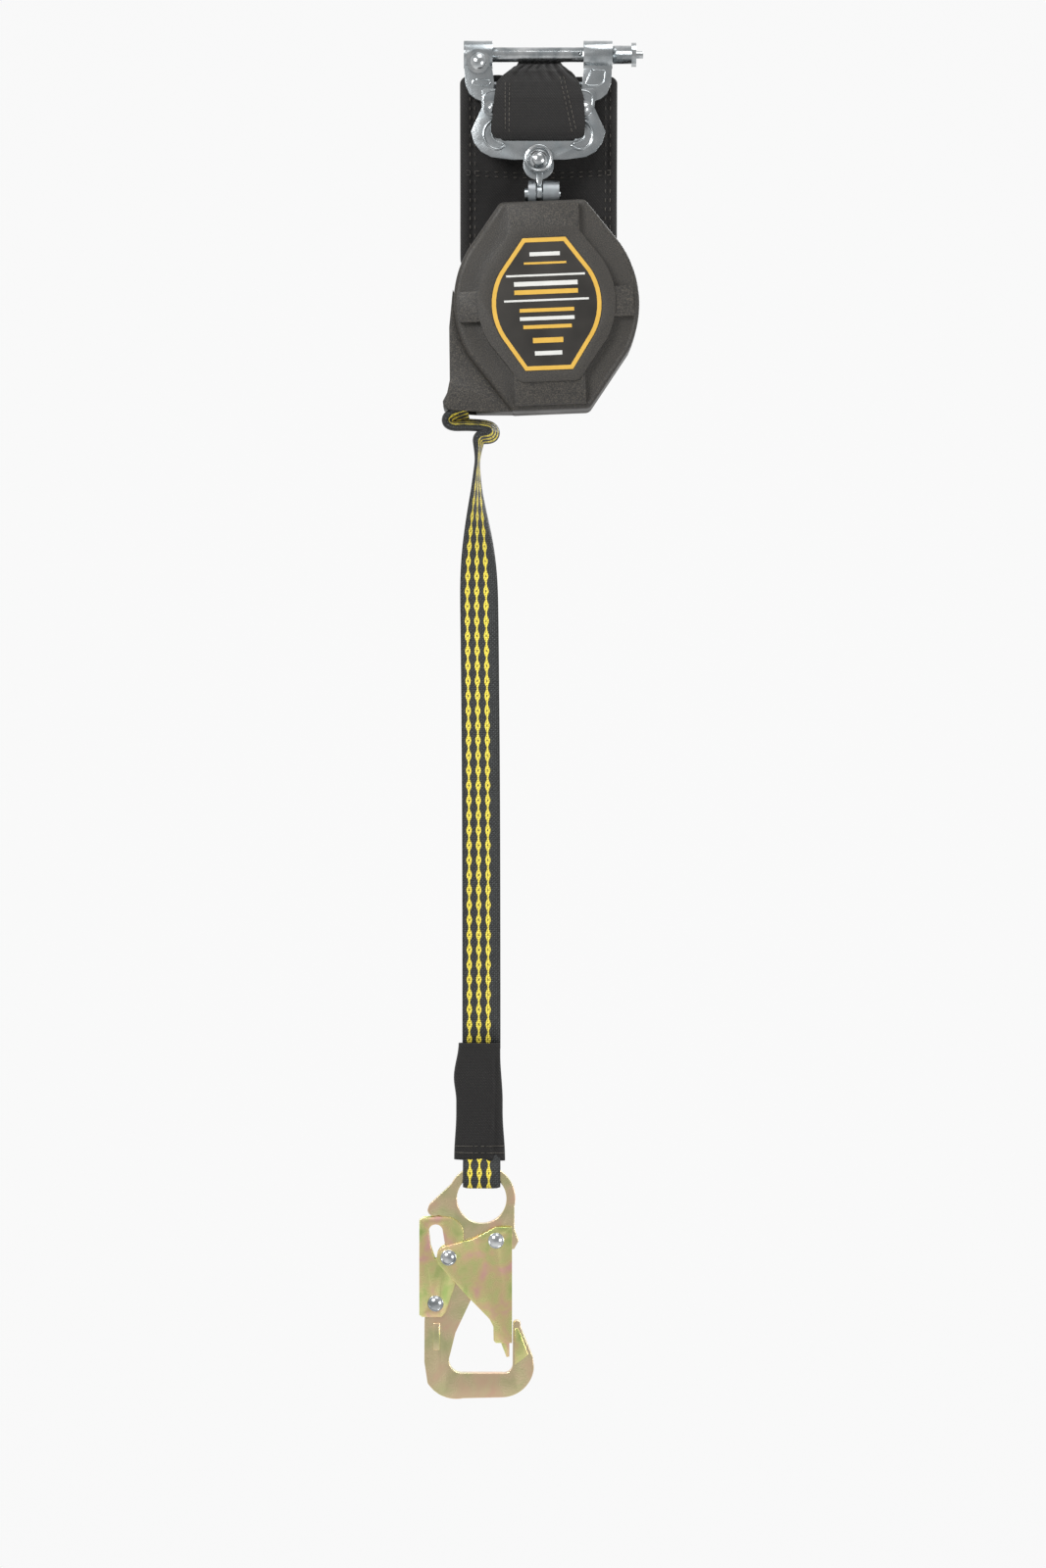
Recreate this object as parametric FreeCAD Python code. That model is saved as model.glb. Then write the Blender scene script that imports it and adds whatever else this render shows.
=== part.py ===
"""Self retracting lifeline: harness connector, absorber pack, housing with a web drum, web line and hook.

Millimetres. +X to the right, +Y away from the front face, +Z up.
The origin is the centre of the harness connector's cross pin.
"""
import FreeCAD, Part
import math
import os

V = FreeCAD.Vector
X_AXIS = V(1, 0, 0)
Y_AXIS = V(0, 1, 0)
Z_AXIS = V(0, 0, 1)

# ---- clearances -------------------------------------------------------------
RUN = 0.05          # radial running clearance of a shaft in a hole
SIDE = 0.3          # gap between faces of pieces that move past each other
FIT = 0.02          # gap between pieces that are fixed together
THROUGH = 100.0     # reach of a hole that passes right through a piece

# ---- harness connector ------------------------------------------------------
PIN_R = 5.0
PIN_TIP_X = -46.0
PIN_HEAD_R = 6.15
PIN_HEAD_LENGTH = 12.4
PIN_FLANGE_R = 8.05
PIN_FLANGE_LENGTH = 3.1
BUTTON_R = 2.45
BUTTON_STICK_OUT = 4.7
BUTTON_TRAVEL = 2.5
BALL_R = 1.5
SPINDLE_R = PIN_R - 2 * BALL_R - 0.2
BALL_X = 28.4
SPINDLE_PAST_BALL = 6.0
BUTTON_BORE = 8.0   # how deep the button sits in the pin's head
KNUCKLE_R = 9.3
DOME_Z = -5.7
DOME_RING_R = 8.0
KNUCKLE_IN = 30.4   # distance from the middle to a knuckle's inner face
KNUCKLE_OUT = 49.6
ARM_FRONT = -5.0
ARM_BACK = 3.0
YOKE_THICK = 4.2
YOKE_RIVET_X = 31.2
YOKE_RIVET_Z = -37.2
YOKE_RIVET_R = 2.0
RIVET_HEAD_R = 5.0
RIVET_RIM = 0.8     # thickness of the rim under a rivet's domed head
BAR_R = 2.0
BAR_Y = 0.2
BAR_Z = -20.0
FLAP_HALF = 28.6
FLAP_TOP = -6.2
FLAP_BOTTOM = -57.8
FLAP_THICK = 2.4

# ---- swivel link ------------------------------------------------------------
SWIVEL_X = 0.2
SWIVEL_Z = -71.7
EYE_R = 9.5
EYE_THICK = 4.0
SWIVEL_SHANK_R = 4.0
SWIVEL_HEAD_R = 6.1
YOKE_EAR_R = 10.2
YOKE_EAR_DROP = 3.1 # how far the ear's centre is below the swivel rivet
STEM_X = 0.8
STEM_THICK = 4.2
HANG_Y = -11.5      # the plane that everything below the swivel hangs in
CLEVIS_Z = -95.8
CLEVIS_PIN_R = 3.2
LINK_HUB_R = 7.4
EAR_GAP = 0.35      # gap from the link's hub to each clevis ear
EAR_LEFT = -6.6
EAR_RIGHT = 14.0
EAR_R = 10.0
EAR_HALF_DEPTH = 8.0
EAR_DROP = 12.5     # from the clevis pin down to the bridge plate
BRIDGE_THICK = 3.0
FRAME_FRONT = 16.5  # from the hanging plane back to the load frame's plate
FRAME_THICK = 2.0

# ---- absorber pack ----------------------------------------------------------
PACK_PIVOT_Y = 8.0
PACK_PIVOT_Z = -17.0
PACK_LEFT = -52.4
PACK_RIGHT = 53.2
PACK_NOSE_R = 4.7
PACK_BOTTOM = -140.0
PACK_FRONT_LOW = 17.5
PACK_DEPTH = 21.0
PACK_WALL = 2.0
FOLD_COUNT = 5
FOLD_GAP = 0.4
FOLD_TOP = -100.0
FOLD_SEAM_HALF = 3.0
FOLD_SEAM_TALL = 4.0

# ---- housing ----------------------------------------------------------------
HOUSING_X = 5.5
HOUSING_Z = -170.6
LEAN = 2.3          # degrees, anticlockwise seen from the front
HALF_WIDTH = 61.5
HALF_HEIGHT = 69.3
TOP_FLAT = 56.0
BOTTOM_FLAT = 52.0
CORNER_R = 5.0
WALL = 2.6
SHELL_FRONT = -33.0
SPLIT_Y = -9.0
SHELL_BACK = 14.0
PLATEAU_RISE = 6.5
PLATEAU_SCALE = 0.74
SPOKE_RISE = 5.2
INTO_WALL = 0.5     # how far a boss sinks into the shell's wall
BOSS_R = 3.6
SCREW_R = 1.6
SCREW_REACH = 7.5   # how far a screw passes the split into the front shell
SCREW_HEAD = 1.4
SCREWS = ((36, 48), (-36, 48), (31, -54), (-31, -54))
LABEL_WIDTH = 73.0
LABEL_HEIGHT = 88.0
LABEL_THICK = 0.8
SPOKE_TALL = 20.0
SPOKE_TOP = 47.0
NOZZLE_X = -47.5
NOZZLE_Z = -241.0

# ---- drum and brake ---------------------------------------------------------
WEB_WIDTH = 25.4
WEB_THICK = 1.6
LINE_ON_DRUM = 1830.0
SHAFT_R = 6.0
CORE_R = 17.0
FLANGE_R = 44.0
FLANGE_THICK = 1.6
RATCHET_R = 50.0
RATCHET_TOOTH = 4.0
RATCHET_COUNT = 14
RATCHET_THICK = 3.0
PAWL_PIN_R = 2.0
PAWL_PIN_RING = 33.0
PAWL_THICK = 2.6
ROLLER_R = 1.8
WAY_HALF = 6.5      # half the width of the web's way out
CUP_R = 30.0
CUP_WALL = 1.5
CUP_FLOOR = 1.2
COIL_COUNT = 6
COIL_R = 26.0
COIL_PITCH = 2.6
COIL_THICK = 0.9

# ---- web line ---------------------------------------------------------------
WEB_TUBE_R = 3.6    # a round section with the web's weight
SLEEVE_TOP = -660.0
SLEEVE_BOTTOM = -737.0
SLEEVE_LEFT = -56.0
SLEEVE_RIGHT = -21.5
SLEEVE_HALF = 5.5
ROUTE = [           # centre of the web from the nozzle to the sleeve, x and z
    (NOZZLE_X, NOZZLE_Z),
    (-45.5, -262.0),
    (-41.5, -292.0),
    (-39.6, -340.0),
    (-38.6, -420.0),
    (-37.8, -540.0),
    (-37.8, SLEEVE_TOP),
]

# ---- hook -------------------------------------------------------------------
EYE_X = -37.6
EYE_Z = -763.6
EYE_HOLE_R = 16.5
EYE_RIM_R = 22.4
HOOK_HALF = 4.8
HOOK_PIVOT_Z = -746.0
LOOP_BOTTOM = -755.8
LOOP_HALF = 11.0
LOOP_KNOB_R = 8.4
LOOP_GAP = 0.6
GATE_X = -28.0
GATE_Z = -791.0
LEVER_X = -68.2
LEVER_Z = -833.0
SHEET = 1.5         # thickness of the lever's and the gate's sheet
LEVER_IN = HOOK_HALF + SIDE
LEVER_OUT = LEVER_IN + SHEET
GATE_IN = LEVER_OUT + SIDE
GATE_OUT = GATE_IN + SHEET
HOOK_PIN_R = 2.6
HOOK_HEAD_R = 4.8
STUD_X = -59.6
STUD_Z = -802.3
STUD_R = 4.6
STUD_RISE = 2.0


def save(shape, name):
    os.makedirs("parts", exist_ok=True)
    if not shape.isValid():
        raise ValueError("bad solid: " + name)
    shape.exportStep("parts/" + name + ".step")


def group(solids):
    return Part.makeCompound(solids)


def box(x0, x1, y0, y1, z0, z1):
    return Part.makeBox(x1 - x0, y1 - y0, z1 - z0, V(x0, y0, z0))


def rod_x(radius, x0, x1, y=0.0, z=0.0):
    return Part.makeCylinder(radius, x1 - x0, V(x0, y, z), X_AXIS)


def rod_y(radius, y0, y1, x, z):
    return Part.makeCylinder(radius, y1 - y0, V(x, y0, z), Y_AXIS)


def outline(points):
    """A closed XZ wire. A point with a third value starts an arc through the next point."""
    edges = []
    count = len(points)
    i = 0
    while i < count:
        here = V(points[i][0], 0, points[i][1])
        if len(points[i]) == 3:
            mid = points[(i + 1) % count]
            end = points[(i + 2) % count]
            edges.append(Part.Arc(here, V(mid[0], 0, mid[1]), V(end[0], 0, end[1])).toShape())
            i += 2
        else:
            end = points[(i + 1) % count]
            edges.append(Part.LineSegment(here, V(end[0], 0, end[1])).toShape())
            i += 1
    return Part.Wire(edges)


def plate(points, y0, y1):
    """An XZ outline thickened from y0 to y1."""
    face = Part.Face(outline(points))
    face.translate(V(0, y0, 0))
    return face.extrude(V(0, y1 - y0, 0))


def side_plate(points, x0, x1):
    """A YZ outline thickened from x0 to x1."""
    corners = [V(x0, y, z) for y, z in points]
    face = Part.Face(Part.makePolygon(corners + corners[:1]))
    return face.extrude(V(x1 - x0, 0, 0))


def vertical_edges(solid, minimum):
    """Edges that run along Y and are at least the given length."""
    found = []
    for edge in solid.Edges:
        if edge.Curve.TypeId != "Part::GeomLine" or edge.Length < minimum:
            continue
        if abs(edge.tangentAt(edge.FirstParameter).y) > 0.999:
            found.append(edge)
    return found


def dome(radius, height, x, y, z):
    """A rivet head: a ball segment on a circle of the given radius, bulging towards -Y."""
    ball_r = (radius * radius + height * height) / (2 * height)
    ball = Part.makeSphere(ball_r, V(x, y + ball_r - height, z))
    return ball.common(rod_y(radius + 1, y - height - 1, y, x, z))


# ---- harness connector ------------------------------------------------------
def make_arm(side):
    """One arm of the connector: a knuckle around the pin and a plate down to the yoke."""
    inner = side * KNUCKLE_IN
    outer = side * KNUCKLE_OUT
    flap_side = side * (FLAP_HALF + 0.15)
    knuckle = rod_x(KNUCKLE_R, min(inner, outer), max(inner, outer))
    blade = plate([
        (outer - side * 0.2, -6.5), (outer - side * 0.8, -19), (side * 46, -26.5), (side * 42, -30),
        (side * 38, -31.5), (side * 36.5, -44), (flap_side, -44), (flap_side, -24),
        (inner + side * 0.2, -10), (inner + side * 0.2, -6.5),
    ], ARM_FRONT, ARM_BACK)
    arm = knuckle.fuse(blade)
    if side < 0:
        bore = rod_x(PIN_R + RUN, PIN_TIP_X - 0.5, 0)
    else:
        bore = rod_x(PIN_R + RUN, 0, KNUCKLE_OUT + 1)
    arm = arm.cut(bore)
    arm = arm.cut(rod_y(YOKE_RIVET_R, -THROUGH, THROUGH, side * YOKE_RIVET_X, YOKE_RIVET_Z))
    arm = arm.cut(rod_x(BAR_R + FIT, -THROUGH, THROUGH, BAR_Y, BAR_Z))
    return arm.removeSplitter()


def make_yoke():
    top = YOKE_RIVET_Z + 13
    back = ARM_FRONT
    front = back - YOKE_THICK
    outer = [
        (-37.6, top), (-37.2, -36), (-44.8, -52.5), (-42.8, -60), (-38, -66), (-31, -69.6),
        (-18, -71.3), (18.5, -71.3), (31.5, -69.5), (38, -66), (42.8, -59.8), (44.8, -52.5),
        (37.2, -36), (37.6, top), (26.5, top), (25.8, -35), (29.5, -46), (28.2, -54),
        (23.5, -58.8), (-23.5, -58.8), (-28.2, -54), (-29.5, -46), (-25.8, -35), (-26.5, top),
    ]
    yoke = plate(outer, front, back)
    edges = vertical_edges(yoke, YOKE_THICK - 0.1)
    yoke = yoke.makeFillet(1.6, edges)
    yoke = yoke.fuse(rod_y(YOKE_EAR_R, front, back, SWIVEL_X, SWIVEL_Z - YOKE_EAR_DROP))
    yoke = yoke.cut(rod_y(SWIVEL_SHANK_R + FIT, -THROUGH, THROUGH, SWIVEL_X, SWIVEL_Z))
    for side in (-1, 1):
        yoke = yoke.cut(rod_y(YOKE_RIVET_R, -THROUGH, THROUGH, side * YOKE_RIVET_X, YOKE_RIVET_Z))
    return yoke.removeSplitter()


def make_yoke_rivets():
    rivets = []
    front = ARM_FRONT - YOKE_THICK
    for side in (-1, 1):
        x = side * YOKE_RIVET_X
        shank = rod_y(YOKE_RIVET_R - FIT, front, ARM_BACK, x, YOKE_RIVET_Z)
        ring = rod_y(RIVET_HEAD_R, front - RIVET_RIM, front, x, YOKE_RIVET_Z)
        head = dome(3.4, 2.0, x, front - RIVET_RIM, YOKE_RIVET_Z)
        tail = rod_y(RIVET_HEAD_R - 1.2, ARM_BACK, ARM_BACK + 1.0, x, YOKE_RIVET_Z)
        rivets.append(shank.fuse(ring).fuse(head).fuse(tail))
    return group(rivets)


def make_knuckle_rivet():
    """The pressed dome on the left knuckle that marks the pin's blind end."""
    x = -(KNUCKLE_IN + KNUCKLE_OUT) / 2
    front = -KNUCKLE_R - RIVET_RIM
    ring = rod_y(DOME_RING_R, front, ARM_FRONT, x, DOME_Z)
    head = dome(DOME_RING_R - 2.4, 3.0, x, front, DOME_Z)
    return ring.fuse(head).cut(rod_x(KNUCKLE_R, -KNUCKLE_OUT, -KNUCKLE_IN))


def make_pin():
    head_x = KNUCKLE_OUT + 0.4
    shaft = rod_x(PIN_R, PIN_TIP_X, head_x)
    shaft = shaft.fuse(rod_x(PIN_HEAD_R, head_x, head_x + PIN_HEAD_LENGTH))
    flange_x = head_x + PIN_HEAD_LENGTH
    shaft = shaft.fuse(rod_x(PIN_FLANGE_R, flange_x, flange_x + PIN_FLANGE_LENGTH))
    end_x = flange_x + PIN_FLANGE_LENGTH
    shaft = shaft.cut(rod_x(SPINDLE_R + RUN, BALL_X - SPINDLE_PAST_BALL, THROUGH))
    shaft = shaft.cut(rod_x(BUTTON_R + RUN, end_x - BUTTON_BORE, THROUGH))
    shaft = shaft.cut(rod_y(BALL_R + RUN, -THROUGH, THROUGH, BALL_X, 0))
    return shaft, end_x


def make_pin_button(end_x):
    room = BUTTON_TRAVEL + 0.2
    button = rod_x(BUTTON_R, end_x - BUTTON_BORE + room, end_x + BUTTON_STICK_OUT)
    spindle = rod_x(SPINDLE_R, BALL_X - SPINDLE_PAST_BALL + room, end_x)
    return button.fuse(spindle)


def make_balls():
    balls = []
    for side in (-1, 1):
        balls.append(Part.makeSphere(BALL_R, V(BALL_X, side * (PIN_R - BALL_R - 0.05), 0)))
    return group(balls)


def make_flap():
    flap = plate([
        (-12, FLAP_TOP), (14, FLAP_TOP), (23.5, -14.7), (27.5, -22.7), (FLAP_HALF, -36),
        (FLAP_HALF, FLAP_BOTTOM), (-FLAP_HALF, FLAP_BOTTOM), (-27.5, -20), (-19, -11),
    ], ARM_FRONT + 0.2, ARM_FRONT + 0.2 + FLAP_THICK)
    return flap


def build_connector():
    save(make_arm(-1), "left_arm")
    save(make_arm(1), "right_arm")
    save(make_yoke(), "yoke_plate")
    save(make_yoke_rivets(), "yoke_rivets")
    save(make_knuckle_rivet(), "knuckle_dome")
    save(rod_x(BAR_R, -KNUCKLE_OUT + 6, KNUCKLE_OUT - 6, BAR_Y, BAR_Z), "absorber_bar")
    save(make_flap(), "flap_cover")
    shaft, end_x = make_pin()
    save(shaft, "pin_shaft")
    save(make_pin_button(end_x), "pin_button")
    save(make_balls(), "lock_balls")


# ---- swivel link ------------------------------------------------------------
def build_link():
    front = ARM_FRONT - YOKE_THICK - SIDE - EYE_THICK
    back = front + EYE_THICK
    eye = rod_y(EYE_R, front, back, SWIVEL_X, SWIVEL_Z)
    half = STEM_THICK / 2
    stem = box(STEM_X - half, STEM_X + half, front, back, CLEVIS_Z, SWIVEL_Z - EYE_R + 1.5)
    hub = rod_x(LINK_HUB_R, STEM_X - half, STEM_X + half, HANG_Y, CLEVIS_Z)
    link = eye.fuse(stem).fuse(hub)
    link = link.cut(rod_y(SWIVEL_SHANK_R + RUN, -THROUGH, THROUGH, SWIVEL_X, SWIVEL_Z))
    link = link.cut(rod_x(CLEVIS_PIN_R + RUN, -THROUGH, THROUGH, HANG_Y, CLEVIS_Z))
    save(link.removeSplitter(), "swivel_link")
    shank = rod_y(SWIVEL_SHANK_R, front - SIDE, ARM_FRONT, SWIVEL_X, SWIVEL_Z)
    rim = front - SIDE - RIVET_RIM
    collar = rod_y(SWIVEL_HEAD_R + 0.5, rim, front - SIDE, SWIVEL_X, SWIVEL_Z)
    head = dome(SWIVEL_HEAD_R, 3.8, SWIVEL_X, rim, SWIVEL_Z)
    tail = rod_y(SWIVEL_HEAD_R, ARM_FRONT, ARM_FRONT + 1.6, SWIVEL_X, SWIVEL_Z)
    save(shank.fuse(collar).fuse(head).fuse(tail), "swivel_rivet")


# ---- absorber pack ----------------------------------------------------------
def pack_profile(inset):
    """Side view of the pouch: a rounded nose at its pivot, then down behind the housing."""
    nose = PACK_NOSE_R - inset
    y, z = PACK_PIVOT_Y, PACK_PIVOT_Z
    points = []
    for step in range(7):
        turn = math.radians(180 - step * 15)
        points.append((y + nose * math.cos(turn), z + nose * math.sin(turn)))
    points += [
        (y + 16, z + nose), (PACK_FRONT_LOW + PACK_DEPTH - inset - 6, z - 12),
        (PACK_FRONT_LOW + PACK_DEPTH - inset, z - 40),
        (PACK_FRONT_LOW + PACK_DEPTH - inset, PACK_BOTTOM + inset),
        (PACK_FRONT_LOW + inset, PACK_BOTTOM + inset), (PACK_FRONT_LOW + inset, -96),
    ]
    return points


def build_pack():
    pouch = side_plate(pack_profile(0), PACK_LEFT, PACK_RIGHT)
    hollow = side_plate(pack_profile(PACK_WALL), PACK_LEFT + PACK_WALL, PACK_RIGHT - PACK_WALL)
    save(pouch.cut(hollow), "absorber_pouch")
    inset = PACK_WALL + SIDE
    low = PACK_BOTTOM + inset
    front = PACK_FRONT_LOW + inset
    pitch = (PACK_DEPTH - 2 * inset) / FOLD_COUNT
    back = front + FOLD_COUNT * pitch - FOLD_GAP
    middle = (PACK_LEFT + PACK_RIGHT) / 2
    tear = box(middle - FOLD_SEAM_HALF, middle + FOLD_SEAM_HALF, front, back, low, low + FOLD_SEAM_TALL)
    for layer in range(FOLD_COUNT):
        y0 = front + layer * pitch
        fold = box(PACK_LEFT + inset, PACK_RIGHT - inset, y0, y0 + pitch - FOLD_GAP, low, FOLD_TOP)
        tear = tear.fuse(fold)
    save(tear, "tear_webbing")


# ---- housing ----------------------------------------------------------------
def housing_outline(grow):
    """Front view of the housing about its own centre, grown or shrunk by an offset."""
    w = HALF_WIDTH + grow
    h = HALF_HEIGHT + grow
    top = TOP_FLAT / 2 + grow * 0.6
    bottom = BOTTOM_FLAT / 2 + grow * 0.6
    return [
        (top, h), (-top, h), (-w * 0.825, h * 0.56, "arc"), (-w, 0.0), (-w * 0.865, -h * 0.46),
        (-bottom, -h), (bottom, -h), (w * 0.865, -h * 0.46, "arc"), (w, 0.0), (w * 0.825, h * 0.56),
    ]


def housing_block(grow, y0, y1, corner):
    solid = plate(housing_outline(grow), y0, y1)
    return solid.makeFillet(corner, vertical_edges(solid, abs(y1 - y0) * 0.9))


def scaled_outline(share):
    return [(p[0] * share, p[1] * share, *p[2:]) for p in housing_outline(0)]


def lean(shape):
    """Put a shape made about the housing's centre in its place, leaned."""
    shape.rotate(V(0, 0, 0), Y_AXIS, -LEAN)
    shape.translate(V(HOUSING_X, 0, HOUSING_Z))
    return shape


def link_slot():
    """Room in the shells' top for the clevis ears and the link."""
    return box(-8.5, 16, HANG_Y - 12.5, HANG_Y + 12.5, CLEVIS_Z - 14, CLEVIS_Z + 20)


def web_way():
    """The passage that the web runs down, from the drum to the nozzle's mouth."""
    half = WEB_WIDTH / 2 + 1
    return box(NOZZLE_X - WAY_HALF, NOZZLE_X + WAY_HALF, HANG_Y - half, HANG_Y + half, NOZZLE_Z - 5, -180)


def make_front_shell():
    shell = housing_block(0, SHELL_FRONT, SPLIT_Y, CORNER_R)
    edges = [e for e in shell.Edges if e.BoundBox.YMax < SHELL_FRONT + 0.01]
    shell = shell.makeFillet(4.0, edges)
    plateau = plate(scaled_outline(PLATEAU_SCALE), SHELL_FRONT - PLATEAU_RISE, SHELL_FRONT + 6)
    plateau = plateau.makeFillet(5.0, vertical_edges(plateau, 10))
    top = SHELL_FRONT - SPOKE_RISE
    root = SHELL_FRONT + 3
    across = HALF_WIDTH - 4
    along = HALF_HEIGHT - 3
    spokes = box(-across, across, top, root, -SPOKE_TALL / 2, SPOKE_TALL / 2)
    upright = box(-SPOKE_TOP / 2, SPOKE_TOP / 2, top, root, -along, along)
    shell = shell.fuse(plateau).fuse(spokes).fuse(upright)
    hollow = housing_block(-WALL, SHELL_FRONT + WALL, SPLIT_Y + 1, CORNER_R - WALL)
    shell = shell.cut(hollow)
    face = SHELL_FRONT - PLATEAU_RISE
    shell = shell.cut(plate(label_outline(0.15), face - 1, face + LABEL_THICK))
    for x, z in SCREWS:
        shell = shell.fuse(rod_y(BOSS_R, SHELL_FRONT + WALL - INTO_WALL, SPLIT_Y, x, z))
        shell = shell.cut(rod_y(SCREW_R + FIT, SPLIT_Y - SCREW_REACH - 0.5, SPLIT_Y + 1, x, z))
    shell = lean(shell)
    return shell.cut(link_slot()).cut(web_way())


def label_outline(grow):
    w = LABEL_WIDTH / 2 + grow
    h = LABEL_HEIGHT / 2 + grow
    return [
        (14.3, h), (-14.3, h), (-w * 0.83, h * 0.5, "arc"), (-w, 0.0), (-w * 0.83, -h * 0.5),
        (-15.8, -h), (15.8, -h), (w * 0.83, -h * 0.5, "arc"), (w, 0.0), (w * 0.83, h * 0.5),
    ]


def make_rear_shell():
    shell = housing_block(0, SPLIT_Y, SHELL_BACK, CORNER_R)
    edges = [e for e in shell.Edges if e.BoundBox.YMin > SHELL_BACK - 0.01]
    shell = shell.makeFillet(5.0, edges)
    hollow = housing_block(-WALL, SPLIT_Y - 1, SHELL_BACK - WALL, CORNER_R - WALL)
    shell = shell.cut(hollow)
    for x, z in SCREWS:
        shell = shell.fuse(rod_y(BOSS_R, SPLIT_Y, SHELL_BACK - WALL + INTO_WALL, x, z))
        shell = shell.cut(rod_y(SCREW_R + FIT, SPLIT_Y - 1, SHELL_BACK + 1, x, z))
    shell = lean(shell)
    half = WEB_WIDTH / 2 + 4
    nozzle = plate([
        (-56.6, -160), (-59, -185), (-58.6, -220), (-60.4, -228.5), (-63.2, -234), (-62.8, -238),
        (-59, -239.6), (-40, -240.8), (-17, -240.8), (-17, -222), (-40, -205), (-50, -175),
    ], HANG_Y - half, HANG_Y + half)
    inside = housing_block(FIT, SPLIT_Y - 80, SPLIT_Y, CORNER_R)
    nozzle = nozzle.cut(lean(inside))
    core = lean(housing_block(-WALL, SPLIT_Y - 80, SHELL_BACK - WALL, CORNER_R - WALL))
    nozzle = nozzle.cut(core)
    shell = shell.fuse(nozzle)
    return shell.cut(link_slot()).cut(web_way())


def make_load_frame():
    """Steel side plates' bridge: two clevis ears above a plate beside the drum."""
    hub_half = STEM_THICK / 2 + EAR_GAP
    low = CLEVIS_Z - EAR_DROP
    near = HANG_Y - EAR_HALF_DEPTH
    far = HANG_Y + EAR_HALF_DEPTH
    plate_front = HANG_Y + FRAME_FRONT
    frame = box(EAR_LEFT, EAR_RIGHT, near, plate_front, low - BRIDGE_THICK, low)
    for x0, x1 in ((EAR_LEFT, STEM_X - hub_half), (STEM_X + hub_half, EAR_RIGHT)):
        frame = frame.fuse(box(x0, x1, near, far, low, CLEVIS_Z))
        frame = frame.fuse(rod_x(EAR_R, x0, x1, HANG_Y, CLEVIS_Z))
    corners = [(-24, 60), (24, 60), (20, -16), (-20, -16)]
    frame = frame.fuse(lean(plate(corners, plate_front, plate_front + FRAME_THICK)))
    frame = frame.cut(rod_x(CLEVIS_PIN_R + FIT, -THROUGH, THROUGH, HANG_Y, CLEVIS_Z))
    return frame.cut(rod_y(SHAFT_R + FIT, -THROUGH, THROUGH, HOUSING_X, HOUSING_Z))


def make_ratchet_ring():
    y0 = HANG_Y - WEB_WIDTH / 2 - FLANGE_THICK - 1.2 - PAWL_THICK
    ring = rod_y(RATCHET_R + 3, y0, y0 + RATCHET_THICK, 0, 0)
    tips = []
    for tooth in range(RATCHET_COUNT):
        a0 = 2 * math.pi * tooth / RATCHET_COUNT
        a1 = 2 * math.pi * (tooth + 1) / RATCHET_COUNT
        tips.append((RATCHET_R * math.cos(a0), RATCHET_R * math.sin(a0)))
        inner = RATCHET_R - RATCHET_TOOTH
        tips.append((inner * math.cos(a1), inner * math.sin(a1)))
    return lean(ring.cut(plate(tips, y0 - 1, y0 + RATCHET_THICK + 1)))


def make_power_spring(front, back):
    """Round coils joined by one spoke, from the shaft out to the cup."""
    shaft_side = HOUSING_X + SHAFT_R + 0.2
    spring = box(shaft_side, HOUSING_X + COIL_R, front, back, HOUSING_Z - 0.6, HOUSING_Z + 0.6)
    for turn in range(COIL_COUNT):
        radius = COIL_R - turn * COIL_PITCH
        coil = rod_y(radius, front, back, HOUSING_X, HOUSING_Z)
        spring = spring.fuse(coil.cut(rod_y(radius - COIL_THICK, -THROUGH, THROUGH, HOUSING_X, HOUSING_Z)))
    return spring


def build_housing():
    save(make_front_shell(), "front_shell")
    save(make_rear_shell(), "rear_shell")
    y = SHELL_FRONT - PLATEAU_RISE
    save(lean(plate(label_outline(0), y + FIT, y + LABEL_THICK - FIT)), "label_plate")
    save(make_load_frame(), "load_frame")
    pin = rod_x(CLEVIS_PIN_R, EAR_LEFT, EAR_RIGHT + RIVET_RIM, HANG_Y, CLEVIS_Z)
    head = rod_x(CLEVIS_PIN_R + 2.0, EAR_LEFT - 2.4, EAR_LEFT, HANG_Y, CLEVIS_Z)
    save(pin.fuse(head), "clevis_pin")
    shaft_back = SHELL_BACK - WALL - 0.1
    shaft_front = SHELL_FRONT + WALL + 0.1
    save(rod_y(SHAFT_R, shaft_front, shaft_back, HOUSING_X, HOUSING_Z), "main_shaft")
    save(make_ratchet_ring(), "ratchet_ring")
    cup_front = HANG_Y + FRAME_FRONT + FRAME_THICK + SIDE
    cup = rod_y(CUP_R, cup_front, shaft_back, HOUSING_X, HOUSING_Z)
    cup = cup.cut(rod_y(CUP_R - CUP_WALL, cup_front - 1, shaft_back - CUP_FLOOR, HOUSING_X, HOUSING_Z))
    save(cup.cut(rod_y(SHAFT_R + FIT, -THROUGH, THROUGH, HOUSING_X, HOUSING_Z)), "spring_cup")
    save(make_power_spring(cup_front + 0.2, shaft_back - CUP_FLOOR - 0.2), "power_spring")
    rollers = []
    half = WEB_WIDTH / 2 + 0.8
    for side in (-1, 1):
        x = NOZZLE_X + side * (WAY_HALF - ROLLER_R - 0.2)
        rollers.append(rod_y(ROLLER_R, HANG_Y - half, HANG_Y + half, x, NOZZLE_Z + 12))
    save(group(rollers), "web_rollers")
    screws = []
    for x, z in SCREWS:
        shank = rod_y(SCREW_R, SPLIT_Y - SCREW_REACH, SHELL_BACK, x, z)
        head = rod_y(BOSS_R - 0.6, SHELL_BACK, SHELL_BACK + SCREW_HEAD, x, z)
        screws.append(lean(shank.fuse(head)))
    save(group(screws), "housing_screws")


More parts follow.
